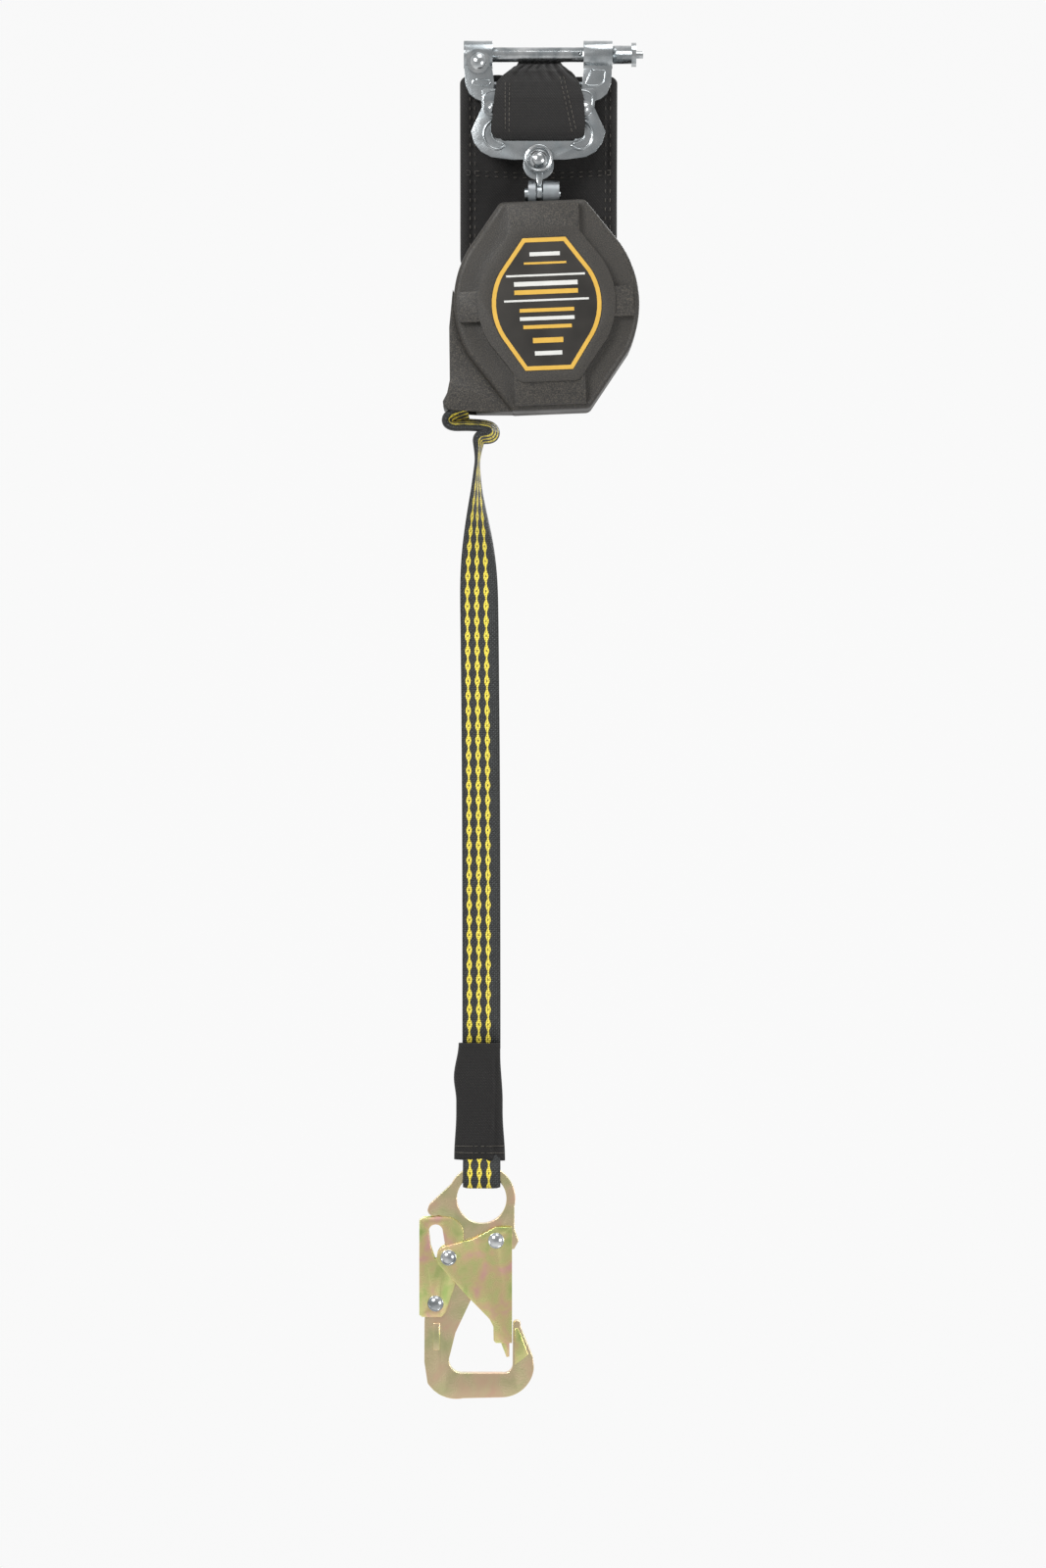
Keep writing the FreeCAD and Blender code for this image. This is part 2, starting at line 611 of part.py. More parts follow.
# ---- drum and pawls ---------------------------------------------------------
def build_drum():
    half = WEB_WIDTH / 2 + 0.6
    drum = rod_y(CORE_R, HANG_Y - half, HANG_Y + half, HOUSING_X, HOUSING_Z)
    for y in (HANG_Y - half - FLANGE_THICK, HANG_Y + half):
        drum = drum.fuse(rod_y(FLANGE_R, y, y + FLANGE_THICK, HOUSING_X, HOUSING_Z))
    drum = drum.cut(rod_y(SHAFT_R + RUN, -THROUGH, THROUGH, HOUSING_X, HOUSING_Z))
    save(drum, "web_drum")
    wound_r = math.sqrt(CORE_R ** 2 + LINE_ON_DRUM * WEB_THICK / math.pi)
    wound = rod_y(wound_r, HANG_Y - WEB_WIDTH / 2, HANG_Y + WEB_WIDTH / 2, HOUSING_X, HOUSING_Z)
    save(wound.cut(rod_y(CORE_R + FIT, -THROUGH, THROUGH, HOUSING_X, HOUSING_Z)), "wound_webbing")
    flange_front = HANG_Y - half - FLANGE_THICK
    pawl_y = flange_front - 0.3 - PAWL_THICK
    pins = []
    for name, half_turn in (("pawl_right", 0), ("pawl_left", 180)):
        pin = rod_y(PAWL_PIN_R, pawl_y - 0.6, flange_front, PAWL_PIN_RING, 0)
        pawl = plate([
            (3.6, 3), (3.6, -5), (2.5, -22), (-2, -23), (-3.6, -5), (-3.6, 3),
        ], pawl_y, pawl_y + PAWL_THICK)
        pawl.translate(V(PAWL_PIN_RING, 0, 0))
        pawl = pawl.cut(rod_y(PAWL_PIN_R + RUN, -THROUGH, THROUGH, PAWL_PIN_RING, 0))
        for piece in (pin, pawl):
            piece.rotate(V(0, 0, 0), Y_AXIS, half_turn)
            piece.translate(V(HOUSING_X, 0, HOUSING_Z))
        save(pawl, name)
        pins.append(pin)
    save(group(pins), "pawl_pins")


# ---- web line ---------------------------------------------------------------
def corner_radius(before, corner, after):
    run_in = (corner - before).Length
    run_out = (after - corner).Length
    turn = (corner - before).getAngle(after - corner)
    return 0.45 * min(run_in, run_out) / math.tan(turn / 2)


def route_wire(points):
    edges = []
    start = points[0]
    for before, corner, after in zip(points, points[1:], points[2:]):
        turn = (corner - before).getAngle(after - corner)
        if turn < 1e-3:
            continue
        radius = corner_radius(before, corner, after)
        cut = radius * math.tan(turn / 2)
        arrive = corner + (before - corner).normalize() * cut
        leave = corner + (after - corner).normalize() * cut
        inward = ((before - corner).normalize() + (after - corner).normalize()).normalize()
        middle = corner + inward * (radius / math.cos(turn / 2) - radius)
        edges.append(Part.LineSegment(start, arrive).toShape())
        edges.append(Part.Arc(arrive, middle, leave).toShape())
        start = leave
    edges.append(Part.LineSegment(start, points[-1]).toShape())
    return Part.Wire(edges)


def build_line():
    points = [V(x, HANG_Y, z) for x, z in ROUTE]
    wire = route_wire(points)
    circle = Part.makeCircle(WEB_TUBE_R, points[0], points[1] - points[0])
    tube = wire.makePipeShell([Part.Wire([circle])], True, False)
    save(tube, "lifeline_web")
    near = HANG_Y - SLEEVE_HALF
    far = HANG_Y + SLEEVE_HALF
    sleeve = box(SLEEVE_LEFT, SLEEVE_RIGHT, near, far, SLEEVE_BOTTOM, SLEEVE_TOP)
    long_edges = [e for e in sleeve.Edges if abs(e.Length - (SLEEVE_TOP - SLEEVE_BOTTOM)) < 0.01]
    save(sleeve.makeFillet(SLEEVE_HALF - 0.5, long_edges), "web_sleeve")


# ---- hook -------------------------------------------------------------------
def make_web_loop():
    """The web's end loop around the top of the hook's eye; its top turns inside the sleeve's mouth."""
    left = EYE_X - WEB_WIDTH / 2
    right = EYE_X + WEB_WIDTH / 2
    inner = HOOK_HALF + LOOP_GAP
    knob = rod_x(LOOP_KNOB_R, left, right, HANG_Y, HOOK_PIVOT_Z)
    shape = side_plate([
        (-LOOP_KNOB_R, HOOK_PIVOT_Z), (LOOP_KNOB_R, HOOK_PIVOT_Z), (LOOP_HALF, HOOK_PIVOT_Z - 5),
        (LOOP_HALF - 1, LOOP_BOTTOM + 4), (LOOP_HALF - 5, LOOP_BOTTOM), (5 - LOOP_HALF, LOOP_BOTTOM),
        (1 - LOOP_HALF, LOOP_BOTTOM + 4),
        (-LOOP_HALF, HOOK_PIVOT_Z - 5),
    ], left, right)
    shape.translate(V(0, HANG_Y, 0))
    solid = shape.fuse(knob)
    top = EYE_Z + EYE_RIM_R + LOOP_GAP
    slot = box(left - 1, right + 1, HANG_Y - inner, HANG_Y + inner, EYE_Z, top)
    slot = slot.cut(rod_y(EYE_HOLE_R - LOOP_GAP, -THROUGH, THROUGH, EYE_X, EYE_Z))
    solid = solid.cut(slot)
    return solid.removeSplitter()


def make_hook_body():
    bow = plate([
        (-54.0, -780.0), (-57.5, -784.0), (-61.5, -803), (-69.5, -815), (-74.2, -826), (-75.6, -845),
        (-75.7, -872), (-73.6, -886, "arc"), (-66.0, -893.5), (-50, -896.2), (-24, -895.6, "arc"),
        (-8.4, -888.6), (-2.8, -876), (-3.6, -868.8), (-12.0, -848.3, "arc"), (-14.0, -844.6),
        (-16.8, -846.5), (-17.0, -874, "arc"), (-19.2, -878.4), (-24.5, -879.6), (-50, -879.6, "arc"),
        (-57.0, -877), (-58.8, -868), (-55, -852.6), (-45.6, -832.6), (-30, -798.5), (-16, -797),
        (-13, -791.5), (-15.8, -784), (-15.8, -766),
    ], -HOOK_HALF, HOOK_HALF)
    eye = rod_y(EYE_RIM_R, -HOOK_HALF, HOOK_HALF, EYE_X, EYE_Z)
    tail = plate([
        (-50.4, -747), (-72.5, -767.5), (-73.6, -771, "arc"), (-72.6, -773.4), (-66.3, -774.4),
        (-56, -778), (-45, -765),
    ], -HOOK_HALF, HOOK_HALF)
    body = bow.fuse(eye).fuse(tail)
    body = body.cut(rod_y(EYE_HOLE_R, -THROUGH, THROUGH, EYE_X, EYE_Z))
    for x, z in ((GATE_X, GATE_Z), (LEVER_X, LEVER_Z)):
        body = body.cut(rod_y(HOOK_PIN_R + FIT, -THROUGH, THROUGH, x, z))
    body.translate(V(0, HANG_Y, 0))
    return body.removeSplitter()


def two_cheeks(points, inner, outer):
    return plate(points, -outer, -inner), plate(points, inner, outer)


def make_gate():
    """Two triangular cheeks joined by a spine along the mouth side, with a latch tongue."""
    points = [
        (-17.4, -782), (-28.3, -782), (-33.9, -785), (-43.8, -790.3), (-61.0, -794.5, "arc"),
        (-67.4, -802.3), (-65.4, -807.6), (-45.7, -829.4), (-32.4, -843), (-29.8, -848),
        (-29.6, -857.4), (-28.2, -859), (-17.4, -859),
    ]
    cheeks = two_cheeks(points, GATE_IN, GATE_OUT)
    spine = box(-19.2, -17.4, -GATE_OUT, GATE_OUT, -859, -799.5)
    tongue = plate([(-27.5, -852), (-19.2, -852), (-19.2, -868.5), (-21, -869), (-24.5, -860)], -4.2, 4.2)
    gate = cheeks[0].fuse(cheeks[1]).fuse(spine).fuse(tongue)
    gate = gate.cut(rod_y(HOOK_PIN_R + RUN, -THROUGH, THROUGH, GATE_X, GATE_Z))
    gate.translate(V(0, HANG_Y, 0))
    return gate.removeSplitter()


def make_lever():
    """The lock lever: a folded channel around the hook's back, with a curved slot in each cheek."""
    points = [
        (-78.3, -777.6), (-77.2, -776.4), (-66, -775.2), (-58.8, -776, "arc"), (-53.0, -779),
        (-49.9, -784.5), (-49.7, -790), (-55, -819.5), (-61.7, -839), (-64.5, -841.9),
        (-77.2, -841.9), (-78.3, -840.8),
    ]
    cheeks = two_cheeks(points, LEVER_IN, LEVER_OUT)
    spine = box(-79.0, -77.6, -LEVER_OUT, LEVER_OUT, -840.8, -777.6)
    lever = cheeks[0].fuse(cheeks[1]).fuse(spine)
    slot = plate([
        (-72.8, -785, "arc"), (-68.1, -780.4), (-63.5, -784), (-62.1, -792.7), (-63.6, -803),
        (-68.6, -803.7), (-71.6, -795),
    ], -THROUGH, THROUGH)
    lever = lever.cut(slot)
    lever = lever.cut(rod_y(HOOK_PIN_R + RUN, -THROUGH, THROUGH, LEVER_X, LEVER_Z))
    lever.translate(V(0, HANG_Y, 0))
    return lever.removeSplitter()


def make_cross_pin(x, z, reach):
    """A pin through the hook with a low domed head on each side."""
    pin = rod_y(HOOK_PIN_R, -reach, reach, x, z)
    front = dome(HOOK_HEAD_R, STUD_RISE, x, -reach, z)
    back = dome(HOOK_HEAD_R, STUD_RISE, x, -reach, z)
    back.rotate(V(x, 0, z), Z_AXIS, 180)
    pin = pin.fuse(front).fuse(back)
    pin.translate(V(0, HANG_Y, 0))
    return pin


def make_gate_studs():
    """The domed head on each cheek of the gate, where the lever's slot meets it."""
    studs = []
    for turn in (0, 180):
        stud = dome(STUD_R, STUD_RISE, STUD_X, -GATE_OUT, STUD_Z)
        stud.rotate(V(STUD_X, 0, STUD_Z), Z_AXIS, turn)
        stud.translate(V(0, HANG_Y, 0))
        studs.append(stud)
    return group(studs)


def build_hook():
    save(make_web_loop(), "web_loop")
    save(make_hook_body(), "hook_body")
    save(make_gate(), "gate_plate")
    save(make_lever(), "lock_lever")
    save(make_cross_pin(GATE_X, GATE_Z, GATE_OUT + 0.2), "gate_pivot")
    save(make_cross_pin(LEVER_X, LEVER_Z, LEVER_OUT + 0.2), "lever_pivot")
    save(make_gate_studs(), "gate_studs")


build_connector()
build_link()
build_pack()
build_housing()
build_drum()
build_line()
build_hook()
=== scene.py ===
"""Self retracting lifeline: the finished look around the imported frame, in metres."""
import bpy
import math
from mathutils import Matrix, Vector, noise


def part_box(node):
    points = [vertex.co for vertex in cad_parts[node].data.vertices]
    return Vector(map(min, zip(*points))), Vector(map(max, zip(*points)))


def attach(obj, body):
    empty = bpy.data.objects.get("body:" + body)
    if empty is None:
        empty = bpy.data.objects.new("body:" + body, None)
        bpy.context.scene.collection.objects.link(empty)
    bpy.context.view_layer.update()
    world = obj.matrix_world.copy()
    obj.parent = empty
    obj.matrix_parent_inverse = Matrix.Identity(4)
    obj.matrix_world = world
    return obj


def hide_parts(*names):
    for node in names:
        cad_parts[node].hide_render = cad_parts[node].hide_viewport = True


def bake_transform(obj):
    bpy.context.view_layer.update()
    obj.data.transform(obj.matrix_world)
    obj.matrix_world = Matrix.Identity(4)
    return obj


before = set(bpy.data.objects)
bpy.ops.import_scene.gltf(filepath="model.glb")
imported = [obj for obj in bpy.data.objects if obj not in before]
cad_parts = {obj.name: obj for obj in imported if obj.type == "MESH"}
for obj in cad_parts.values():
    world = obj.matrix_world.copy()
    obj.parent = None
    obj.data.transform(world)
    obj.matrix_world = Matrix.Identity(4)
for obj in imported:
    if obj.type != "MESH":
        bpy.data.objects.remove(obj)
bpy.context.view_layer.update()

bl_info = {
    "name": "Self Retracting Lifeline",
    "version": (1, 0, 0),
    "blender": (4, 5, 0),
    "location": "3D View > Sidebar > Lifeline",
    "description": "Dresses a self retracting lifeline: shells, pouch, webbing, connector and hook",
    "category": "Object",
}

MM = 0.001
FRONT = Vector((0, -1, 0))
CLOTH_THICK = 1.0 * MM
TURNED_EDGE = 0.15 * MM  # small enough for the button to slide in the pin
WHOLE_TURN = 2 * math.pi
WAVE_REPEAT = WHOLE_TURN / 20  # what a wave texture of scale 1 repeats over
RIVET_RIM_R = 4.7 * MM
SWIVEL_EYE = (0.2 * MM, -71.7 * MM)  # x and z of the swivel rivet
FORGED_PAD = (-67.6 * MM, -855.0 * MM)  # x and z of the plain pad on the hook's shank
CAMERA_PLACE = (-0.0101, -3.0, -0.4876)
FRAMED_DISTANCE, FRAMED_HEIGHT = 2.98, 1.0416  # how much height the camera takes in at that distance


# ---- sizes and colours a user would change -----------------------------------
class LifelineSizes(bpy.types.PropertyGroup):
    edge_round: bpy.props.FloatProperty(
        name="Forged edge", description="Rounding of the forged hook's edges",
        default=3.0 * MM, unit="LENGTH")
    stamped_round: bpy.props.FloatProperty(
        name="Stamped edge", description="Rounding of the stamped steel edges",
        default=0.7 * MM, unit="LENGTH")
    web_width: bpy.props.FloatProperty(
        name="Web width", description="Width of the lifeline webbing",
        default=25.4 * MM, unit="LENGTH")
    web_thickness: bpy.props.FloatProperty(
        name="Web thickness", description="Thickness of the lifeline webbing",
        default=2.4 * MM, unit="LENGTH")
    stitch_length: bpy.props.FloatProperty(
        name="Stitch length", description="Length of one visible stitch",
        default=2.6 * MM, unit="LENGTH")


class LifelineColours(bpy.types.PropertyGroup):
    shell: bpy.props.StringProperty(
        name="Shell", description="Moulded shell colour, sRGB hex", default="292724")
    cloth: bpy.props.StringProperty(
        name="Cloth", description="Pouch fabric colour, sRGB hex", default="1C1A18")
    web: bpy.props.StringProperty(
        name="Web", description="Lifeline web colour, sRGB hex", default="1D2020")
    tracer: bpy.props.StringProperty(
        name="Tracer", description="Web tracer colour, sRGB hex", default="F0DC3C")
    ink: bpy.props.StringProperty(
        name="Ink", description="Label border ink, sRGB hex", default="CDA23A")


def sizes():
    return bpy.context.scene.lifeline_sizes


def colours():
    return bpy.context.scene.lifeline_colours


# ---- small helpers -----------------------------------------------------------
def linear(code):
    """An sRGB hex colour as linear RGBA."""
    values = []
    for i in (0, 2, 4):
        c = int(code[i:i + 2], 16) / 255
        values.append(c / 12.92 if c <= 0.04045 else ((c + 0.055) / 1.055) ** 2.4)
    return (*values, 1.0)


def add(material, kind, inputs=None, stops=(), **settings):
    """Add a node; inputs maps a socket to a value or to another node's output, stops fill a colour ramp."""
    tree = material.node_tree
    node = tree.nodes.new(kind)
    for key, value in settings.items():
        setattr(node, key, value)
    for key, value in (inputs or {}).items():
        if isinstance(value, bpy.types.NodeSocket):
            tree.links.new(value, node.inputs[key])
        else:
            node.inputs[key].default_value = value
    if stops:
        bar = node.color_ramp.elements
        while len(bar) > 1:
            bar.remove(bar[-1])
        bar[0].position, bar[0].color = stops[0][0], linear(stops[0][1])
        for place, code in stops[1:]:
            bar.new(place).color = linear(code)
    return node


def deselect():
    if bpy.context.object and bpy.context.object.mode != "OBJECT":
        bpy.ops.object.mode_set(mode="OBJECT")
    bpy.ops.object.select_all(action="DESELECT")


def activate(obj):
    deselect()
    obj.select_set(True)
    bpy.context.view_layer.objects.active = obj


def modify(obj, kind, **settings):
    """Add one modifier and apply it."""
    modifier = obj.modifiers.new(kind.title(), kind)
    for key, value in settings.items():
        setattr(modifier, key, value)
    activate(obj)
    bpy.ops.object.modifier_apply(modifier=modifier.name)


def settle(obj):
    """Put the piece's place into its mesh, with the object at the origin."""
    activate(obj)
    bpy.ops.object.transform_apply(location=True, rotation=True, scale=True)


def dress(obj, material):
    obj.data.materials.clear()
    obj.data.materials.append(material)


def finish_piece(obj, body, material):
    dress(obj, material)
    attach(obj, body)


def mesh_piece(name, verts, faces, smooth=True):
    mesh = bpy.data.meshes.new(name)
    mesh.from_pydata(verts, [], faces)
    mesh.update()
    obj = bpy.data.objects.new(name, mesh)
    bpy.context.scene.collection.objects.link(obj)
    activate(obj)
    bpy.ops.object.mode_set(mode="EDIT")
    bpy.ops.mesh.select_all(action="SELECT")
    bpy.ops.mesh.normals_make_consistent(inside=False)
    bpy.ops.object.mode_set(mode="OBJECT")
    if smooth:
        bpy.ops.object.shade_smooth()
    return obj


def eased_copy(node, name, width, segments=2, angle=28):
    """A copy of a frame node with its sharp edges rounded, standing for that node."""
    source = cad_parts[node]
    mesh = source.data.copy()
    mesh.transform(source.matrix_world)
    obj = bpy.data.objects.new(name, mesh)
    bpy.context.scene.collection.objects.link(obj)
    activate(obj)
    bpy.ops.object.mode_set(mode="EDIT")
    bpy.ops.mesh.select_all(action="SELECT")
    bpy.ops.mesh.remove_doubles(threshold=1e-6)
    bpy.ops.mesh.dissolve_limited(angle_limit=math.radians(0.6))
    bpy.ops.object.mode_set(mode="OBJECT")
    modify(obj, "BEVEL", width=width, segments=segments, limit_method="ANGLE",
           angle_limit=math.radians(angle), use_clamp_overlap=True)
    bpy.ops.object.shade_smooth_by_angle(angle=math.radians(35))
    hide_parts(node)
    return obj


# ---- materials ---------------------------------------------------------------
def new_material(name):
    material = bpy.data.materials.new(name)
    material.use_nodes = True
    shader = material.node_tree.nodes["Principled BSDF"]
    return material, shader


def link(material, output, socket):
    material.node_tree.links.new(output, socket)


def object_point(material):
    """Object coordinates in millimetres, so that a pattern's scale is one over its size."""
    coord = add(material, "ShaderNodeTexCoord")
    return add(material, "ShaderNodeVectorMath", {0: coord.outputs["Object"], "Scale": 1 / MM},
               operation="SCALE").outputs[0]


def roughen(material, shader, height, strength, deep_mm):
    """Raise a height pattern on the surface by deep_mm."""
    bump = add(material, "ShaderNodeBump", {"Height": height, "Strength": strength, "Distance": deep_mm * MM})
    link(material, bump.outputs["Normal"], shader.inputs["Normal"])


def grain(material, shader, size_mm, strength, deep_mm):
    """Noise grains about size_mm across: coarser than the real ones, which are too fine to show."""
    point = object_point(material)
    speckle = add(material, "ShaderNodeTexNoise", {"Vector": point, "Scale": 1 / size_mm, "Detail": 3.0})
    roughen(material, shader, speckle.outputs["Fac"], strength, deep_mm)
    return point


def mottle(material, point, size_mm, low, high, socket):
    """Drive a value socket between low and high with soft blotches."""
    cloud = add(material, "ShaderNodeTexNoise", {"Vector": point, "Scale": 1 / size_mm, "Detail": 2.0})
    span = add(material, "ShaderNodeMapRange", {
        "Value": cloud.outputs["Fac"], "From Min": 0.3, "From Max": 0.7, "To Min": low, "To Max": high})
    link(material, span.outputs["Result"], socket)
    return cloud


def colour_by(material, shader, factor, stops):
    """Colour the surface along a ramp of sRGB hex stops."""
    tint = add(material, "ShaderNodeValToRGB", {"Fac": factor}, stops)
    link(material, tint.outputs["Color"], shader.inputs["Base Color"])


def zinc_plate(name="Bright Zinc Plate", tone="C3C7C9", rough=(0.16, 0.34)):
    """Electroplated steel: bright with a soft cast skin and duller patches."""
    material, shader = new_material(name)
    shader.inputs["Metallic"].default_value = 1.0
    point = grain(material, shader, 1.4, 0.35, 0.12)
    cloud = mottle(material, point, 9.0, *rough, shader.inputs["Roughness"])
    colour_by(material, shader, cloud.outputs["Fac"], [(0.3, tone), (0.7, "8F9598")])
    return material


def polished_steel():
    """Headed rivets and the ground pin: brighter and smoother than plate."""
    return zinc_plate("Polished Steel", "DADCDD", (0.16, 0.28))


def plain_steel():
    """Bare steel of the springs and shafts inside: greyer and duller than plate."""
    return zinc_plate("Plain Spring Steel", "85878A", (0.3, 0.5))


FORGED_TONES = [(0.34, "E2DFA8"), (0.5, "F0DDB2"), (0.66, "EFCBAC")]
FOLDED_TONES = [(0.33, "CDE28C"), (0.45, "EFEDA4"), (0.56, "F6DDA6"), (0.68, "F2C0B2")]


def yellow_zinc(name, tones, patch_mm):
    """Yellow passivated zinc on steel: gold with green and pink patches."""
    material, shader = new_material(name)
    shader.inputs["Metallic"].default_value = 1.0
    point = grain(material, shader, 1.0, 0.45, 0.12)
    cloud = mottle(material, point, patch_mm, 0.2, 0.34, shader.inputs["Roughness"])
    cloud.inputs["Distortion"].default_value = 0.3
    colour_by(material, shader, cloud.outputs["Fac"], tones)
    return material


def moulded_nylon():
    """Glass-filled nylon: spark-eroded grain, matt, with a speckled tone that follows the grain's height:
    paler on top as painted light, darker low down as painted shade.
    """
    material, shader = new_material("Moulded Nylon")
    point = object_point(material)
    # Real spark-eroded pits are about 0.1 mm across; these are as coarse as they need to be to show.
    pit_mm, speck_mm = 1.1, 0.5
    pits = add(material, "ShaderNodeTexVoronoi", {"Vector": point, "Scale": 1 / pit_mm})
    speckle = add(material, "ShaderNodeTexNoise", {"Vector": point, "Scale": 1 / speck_mm, "Detail": 4.0})
    height = add(material, "ShaderNodeMath", {0: pits.outputs["Distance"], 1: speckle.outputs["Fac"]},
                 operation="ADD")
    roughen(material, shader, height.outputs[0], 0.5, 0.16)
    # The speckle that raises the grain also colours it: near black where low as painted shade, pale where
    # raised as painted light.
    colour_by(material, shader, speckle.outputs["Fac"],
              [(0.32, "131210"), (0.5, colours().shell), (0.68, "544E45")])
    mottle(material, point, 24.0, 0.46, 0.6, shader.inputs["Roughness"])
    return material


def label_film():
    """Polycarbonate label: flat, smoother and darker than the shell."""
    material, shader = new_material("Label Film")
    point = grain(material, shader, 0.7, 0.12, 0.04)
    cloud = mottle(material, point, 30.0, 0.3, 0.42, shader.inputs["Roughness"])
    colour_by(material, shader, cloud.outputs["Fac"], [(0.3, "24221F"), (0.7, "322F2B")])
    return material


def printed_ink(name, code):
    """Screen-printed ink: flat and slightly satin with faint mottling."""
    material, shader = new_material(name)
    point = grain(material, shader, 0.6, 0.1, 0.02)
    cloud = mottle(material, point, 6.0, 0.38, 0.5, shader.inputs["Roughness"])
    tint = add(material, "ShaderNodeHueSaturation", {"Color": linear(code), "Saturation": 0.98})
    dim = add(material, "ShaderNodeMapRange", {"Value": cloud.outputs["Fac"], "To Min": 0.9, "To Max": 1.06})
    link(material, dim.outputs["Result"], tint.inputs["Value"])
    link(material, tint.outputs["Color"], shader.inputs["Base Color"])
    return material


def pack_cloth():
    """Woven polyester pack cloth: a diagonal twill with fuzz, its high threads paler as painted light and the
    gaps between them darker as painted shade.
    """
    material, shader = new_material("Woven Pack Cloth")
    point = object_point(material)
    turned = add(material, "ShaderNodeMapping", {"Vector": point, "Rotation": (0.0, math.radians(38), 0.0)})
    # Real threads are about 0.5 mm apart; these are as coarse as they need to be to show.
    twill_mm, weft_mm, lint_mm = 1.366, 0.9817, 1.111
    rib = add(material, "ShaderNodeTexWave", {
        "Vector": turned.outputs[0], "Scale": WAVE_REPEAT / twill_mm, "Distortion": 0.6, "Detail": 2.0,
        "Detail Scale": 2.0}, bands_direction="X")
    weft = add(material, "ShaderNodeTexWave", {
        "Vector": point, "Scale": WAVE_REPEAT / weft_mm, "Distortion": 0.4}, bands_direction="Z")
    weave = add(material, "ShaderNodeMath", {0: rib.outputs["Fac"], 1: weft.outputs["Fac"]},
                operation="MULTIPLY")
    lint = add(material, "ShaderNodeTexNoise", {"Vector": point, "Scale": 1 / lint_mm, "Detail": 6.0})
    painted_weave_shade_and_fuzz = add(material, "ShaderNodeMath", {0: weave.outputs[0], 1: lint.outputs["Fac"]},
                operation="MULTIPLY")
    # The colour follows the weave's height: near black between the threads as painted shade, paler on the
    # high threads as painted light, with the fuzz noise as real tone.
    colour_by(material, shader, painted_weave_shade_and_fuzz.outputs[0],
              [(0.05, "0B0A0A"), (0.35, colours().cloth), (0.62, "37332F")])
    roughen(material, shader, weave.outputs[0], 0.6, 0.35)
    shader.inputs["Roughness"].default_value = 0.85
    shader.inputs["Sheen Weight"].default_value = 0.12
    return material


def sewing_thread():
    """Bonded thread: brown-grey, round and slightly glossy."""
    material, shader = new_material("Bonded Thread")
    point = grain(material, shader, 0.5, 0.3, 0.05)
    cloud = mottle(material, point, 5.0, 0.45, 0.65, shader.inputs["Roughness"])
    colour_by(material, shader, cloud.outputs["Fac"], [(0.3, "35322E"), (0.7, "56514A")])
    return material


def tracer_web():
    """Polyester webbing: black ribs with three yellow chain tracers, paler on the raised weave as painted
    glints and darker in its low threads as painted shade. UV is in millimetres.
    """
    material, shader = new_material("Tracer Webbing")
    uv = add(material, "ShaderNodeUVMap")
    split = add(material, "ShaderNodeSeparateXYZ", {"Vector": uv.outputs["UV"]})
    pitch, first, link_pitch = 6.25, 4.7, 9.95  # between tracers, edge to first tracer, one chain link
    half_width, bulge = 1.12, 0.62  # half of a tracer's width, and how much its links bulge
    pick_mm, cord_mm, slant_mm = 1.25, 2.6, 2.4  # weft picks, warp cords and their slant
    eye_across, eye_along = 2.6, 6.0  # the dark eye in each link: a larger number is a smaller eye
    made = {"across": split.outputs["X"], "along": split.outputs["Y"]}
    for name, operation, *terms in (
            ("shifted", "ADD", "across", pitch / 2 - first),
            ("folded", "FLOORED_MODULO", "shifted", pitch),
            ("centred", "SUBTRACT", "folded", pitch / 2),
            ("away", "ABSOLUTE", "centred"),
            ("turn", "MULTIPLY", "along", WHOLE_TURN / link_pitch),
            ("wave", "COSINE", "turn"),
            ("half", "MULTIPLY_ADD", "wave", bulge, half_width),
            ("inside", "LESS_THAN", "away", "half"),
            ("past_left", "GREATER_THAN", "across", first - pitch / 2),
            ("short_of_right", "LESS_THAN", "across", first + 2.5 * pitch),
            ("chain", "MULTIPLY", "inside", "past_left"),
            ("chains", "MULTIPLY", "chain", "short_of_right"),
            ("eye_wide", "MULTIPLY", "away", eye_across),
            ("fade", "SUBTRACT", 1.0, "wave"),
            ("eye_long", "MULTIPLY", "fade", eye_along),
            ("eye_size", "ADD", "eye_wide", "eye_long"),
            ("eye", "LESS_THAN", "eye_size", 1.0),
            ("no_eye", "SUBTRACT", 1.0, "eye"),
            ("tracer", "MULTIPLY", "chains", "no_eye"),
            ("pick", "MULTIPLY", "along", WHOLE_TURN / pick_mm),
            ("rib", "SINE", "pick"),
            ("warp", "MULTIPLY", "across", WHOLE_TURN / cord_mm),
            ("warp_wave", "SINE", "warp"),
            ("cord", "ABSOLUTE", "warp_wave"),
            ("lay", "ADD", "across", "along"),
            ("lay_turn", "MULTIPLY", "lay", WHOLE_TURN / slant_mm),
            ("slant", "SINE", "lay_turn"),
            ("slanted", "MULTIPLY_ADD", "slant", 0.25, "cord"),
            ("weave", "MULTIPLY_ADD", "rib", 0.3, "slanted")):
        inputs = {i: made[term] if isinstance(term, str) else term for i, term in enumerate(terms)}
        made[name] = add(material, "ShaderNodeMath", inputs, operation=operation).outputs[0]
    lint = add(material, "ShaderNodeTexNoise", {
        "Vector": uv.outputs["UV"], "Scale": 1 / pick_mm, "Detail": 5.0})
    # The weave's height colours the web: dark low threads are painted shade, pale high threads are painted
    # glints, and the lint noise is fuzz.
    painted_weave_glint_and_shade = add(material, "ShaderNodeMath", {0: made["weave"], 1: lint.outputs["Fac"]}, operation="MULTIPLY")
    black, yellow = (
        add(material, "ShaderNodeValToRGB", {"Fac": painted_weave_glint_and_shade.outputs[0]}, stops).outputs["Color"] for stops in (
            [(0.1, "0C0D0D"), (0.45, colours().web), (0.75, "4B4F4F")],
            [(0.05, "A8921C"), (0.35, colours().tracer), (0.8, "FFF07A")]))
    mix = add(material, "ShaderNodeMix", {0: made["tracer"], 6: black, 7: yellow}, data_type="RGBA")
    link(material, mix.outputs[2], shader.inputs["Base Color"])
    roughen(material, shader, made["weave"], 0.6, 0.3)
    shader.inputs["Roughness"].default_value = 0.6
    shader.inputs["Sheen Weight"].default_value = 0.1
    return material


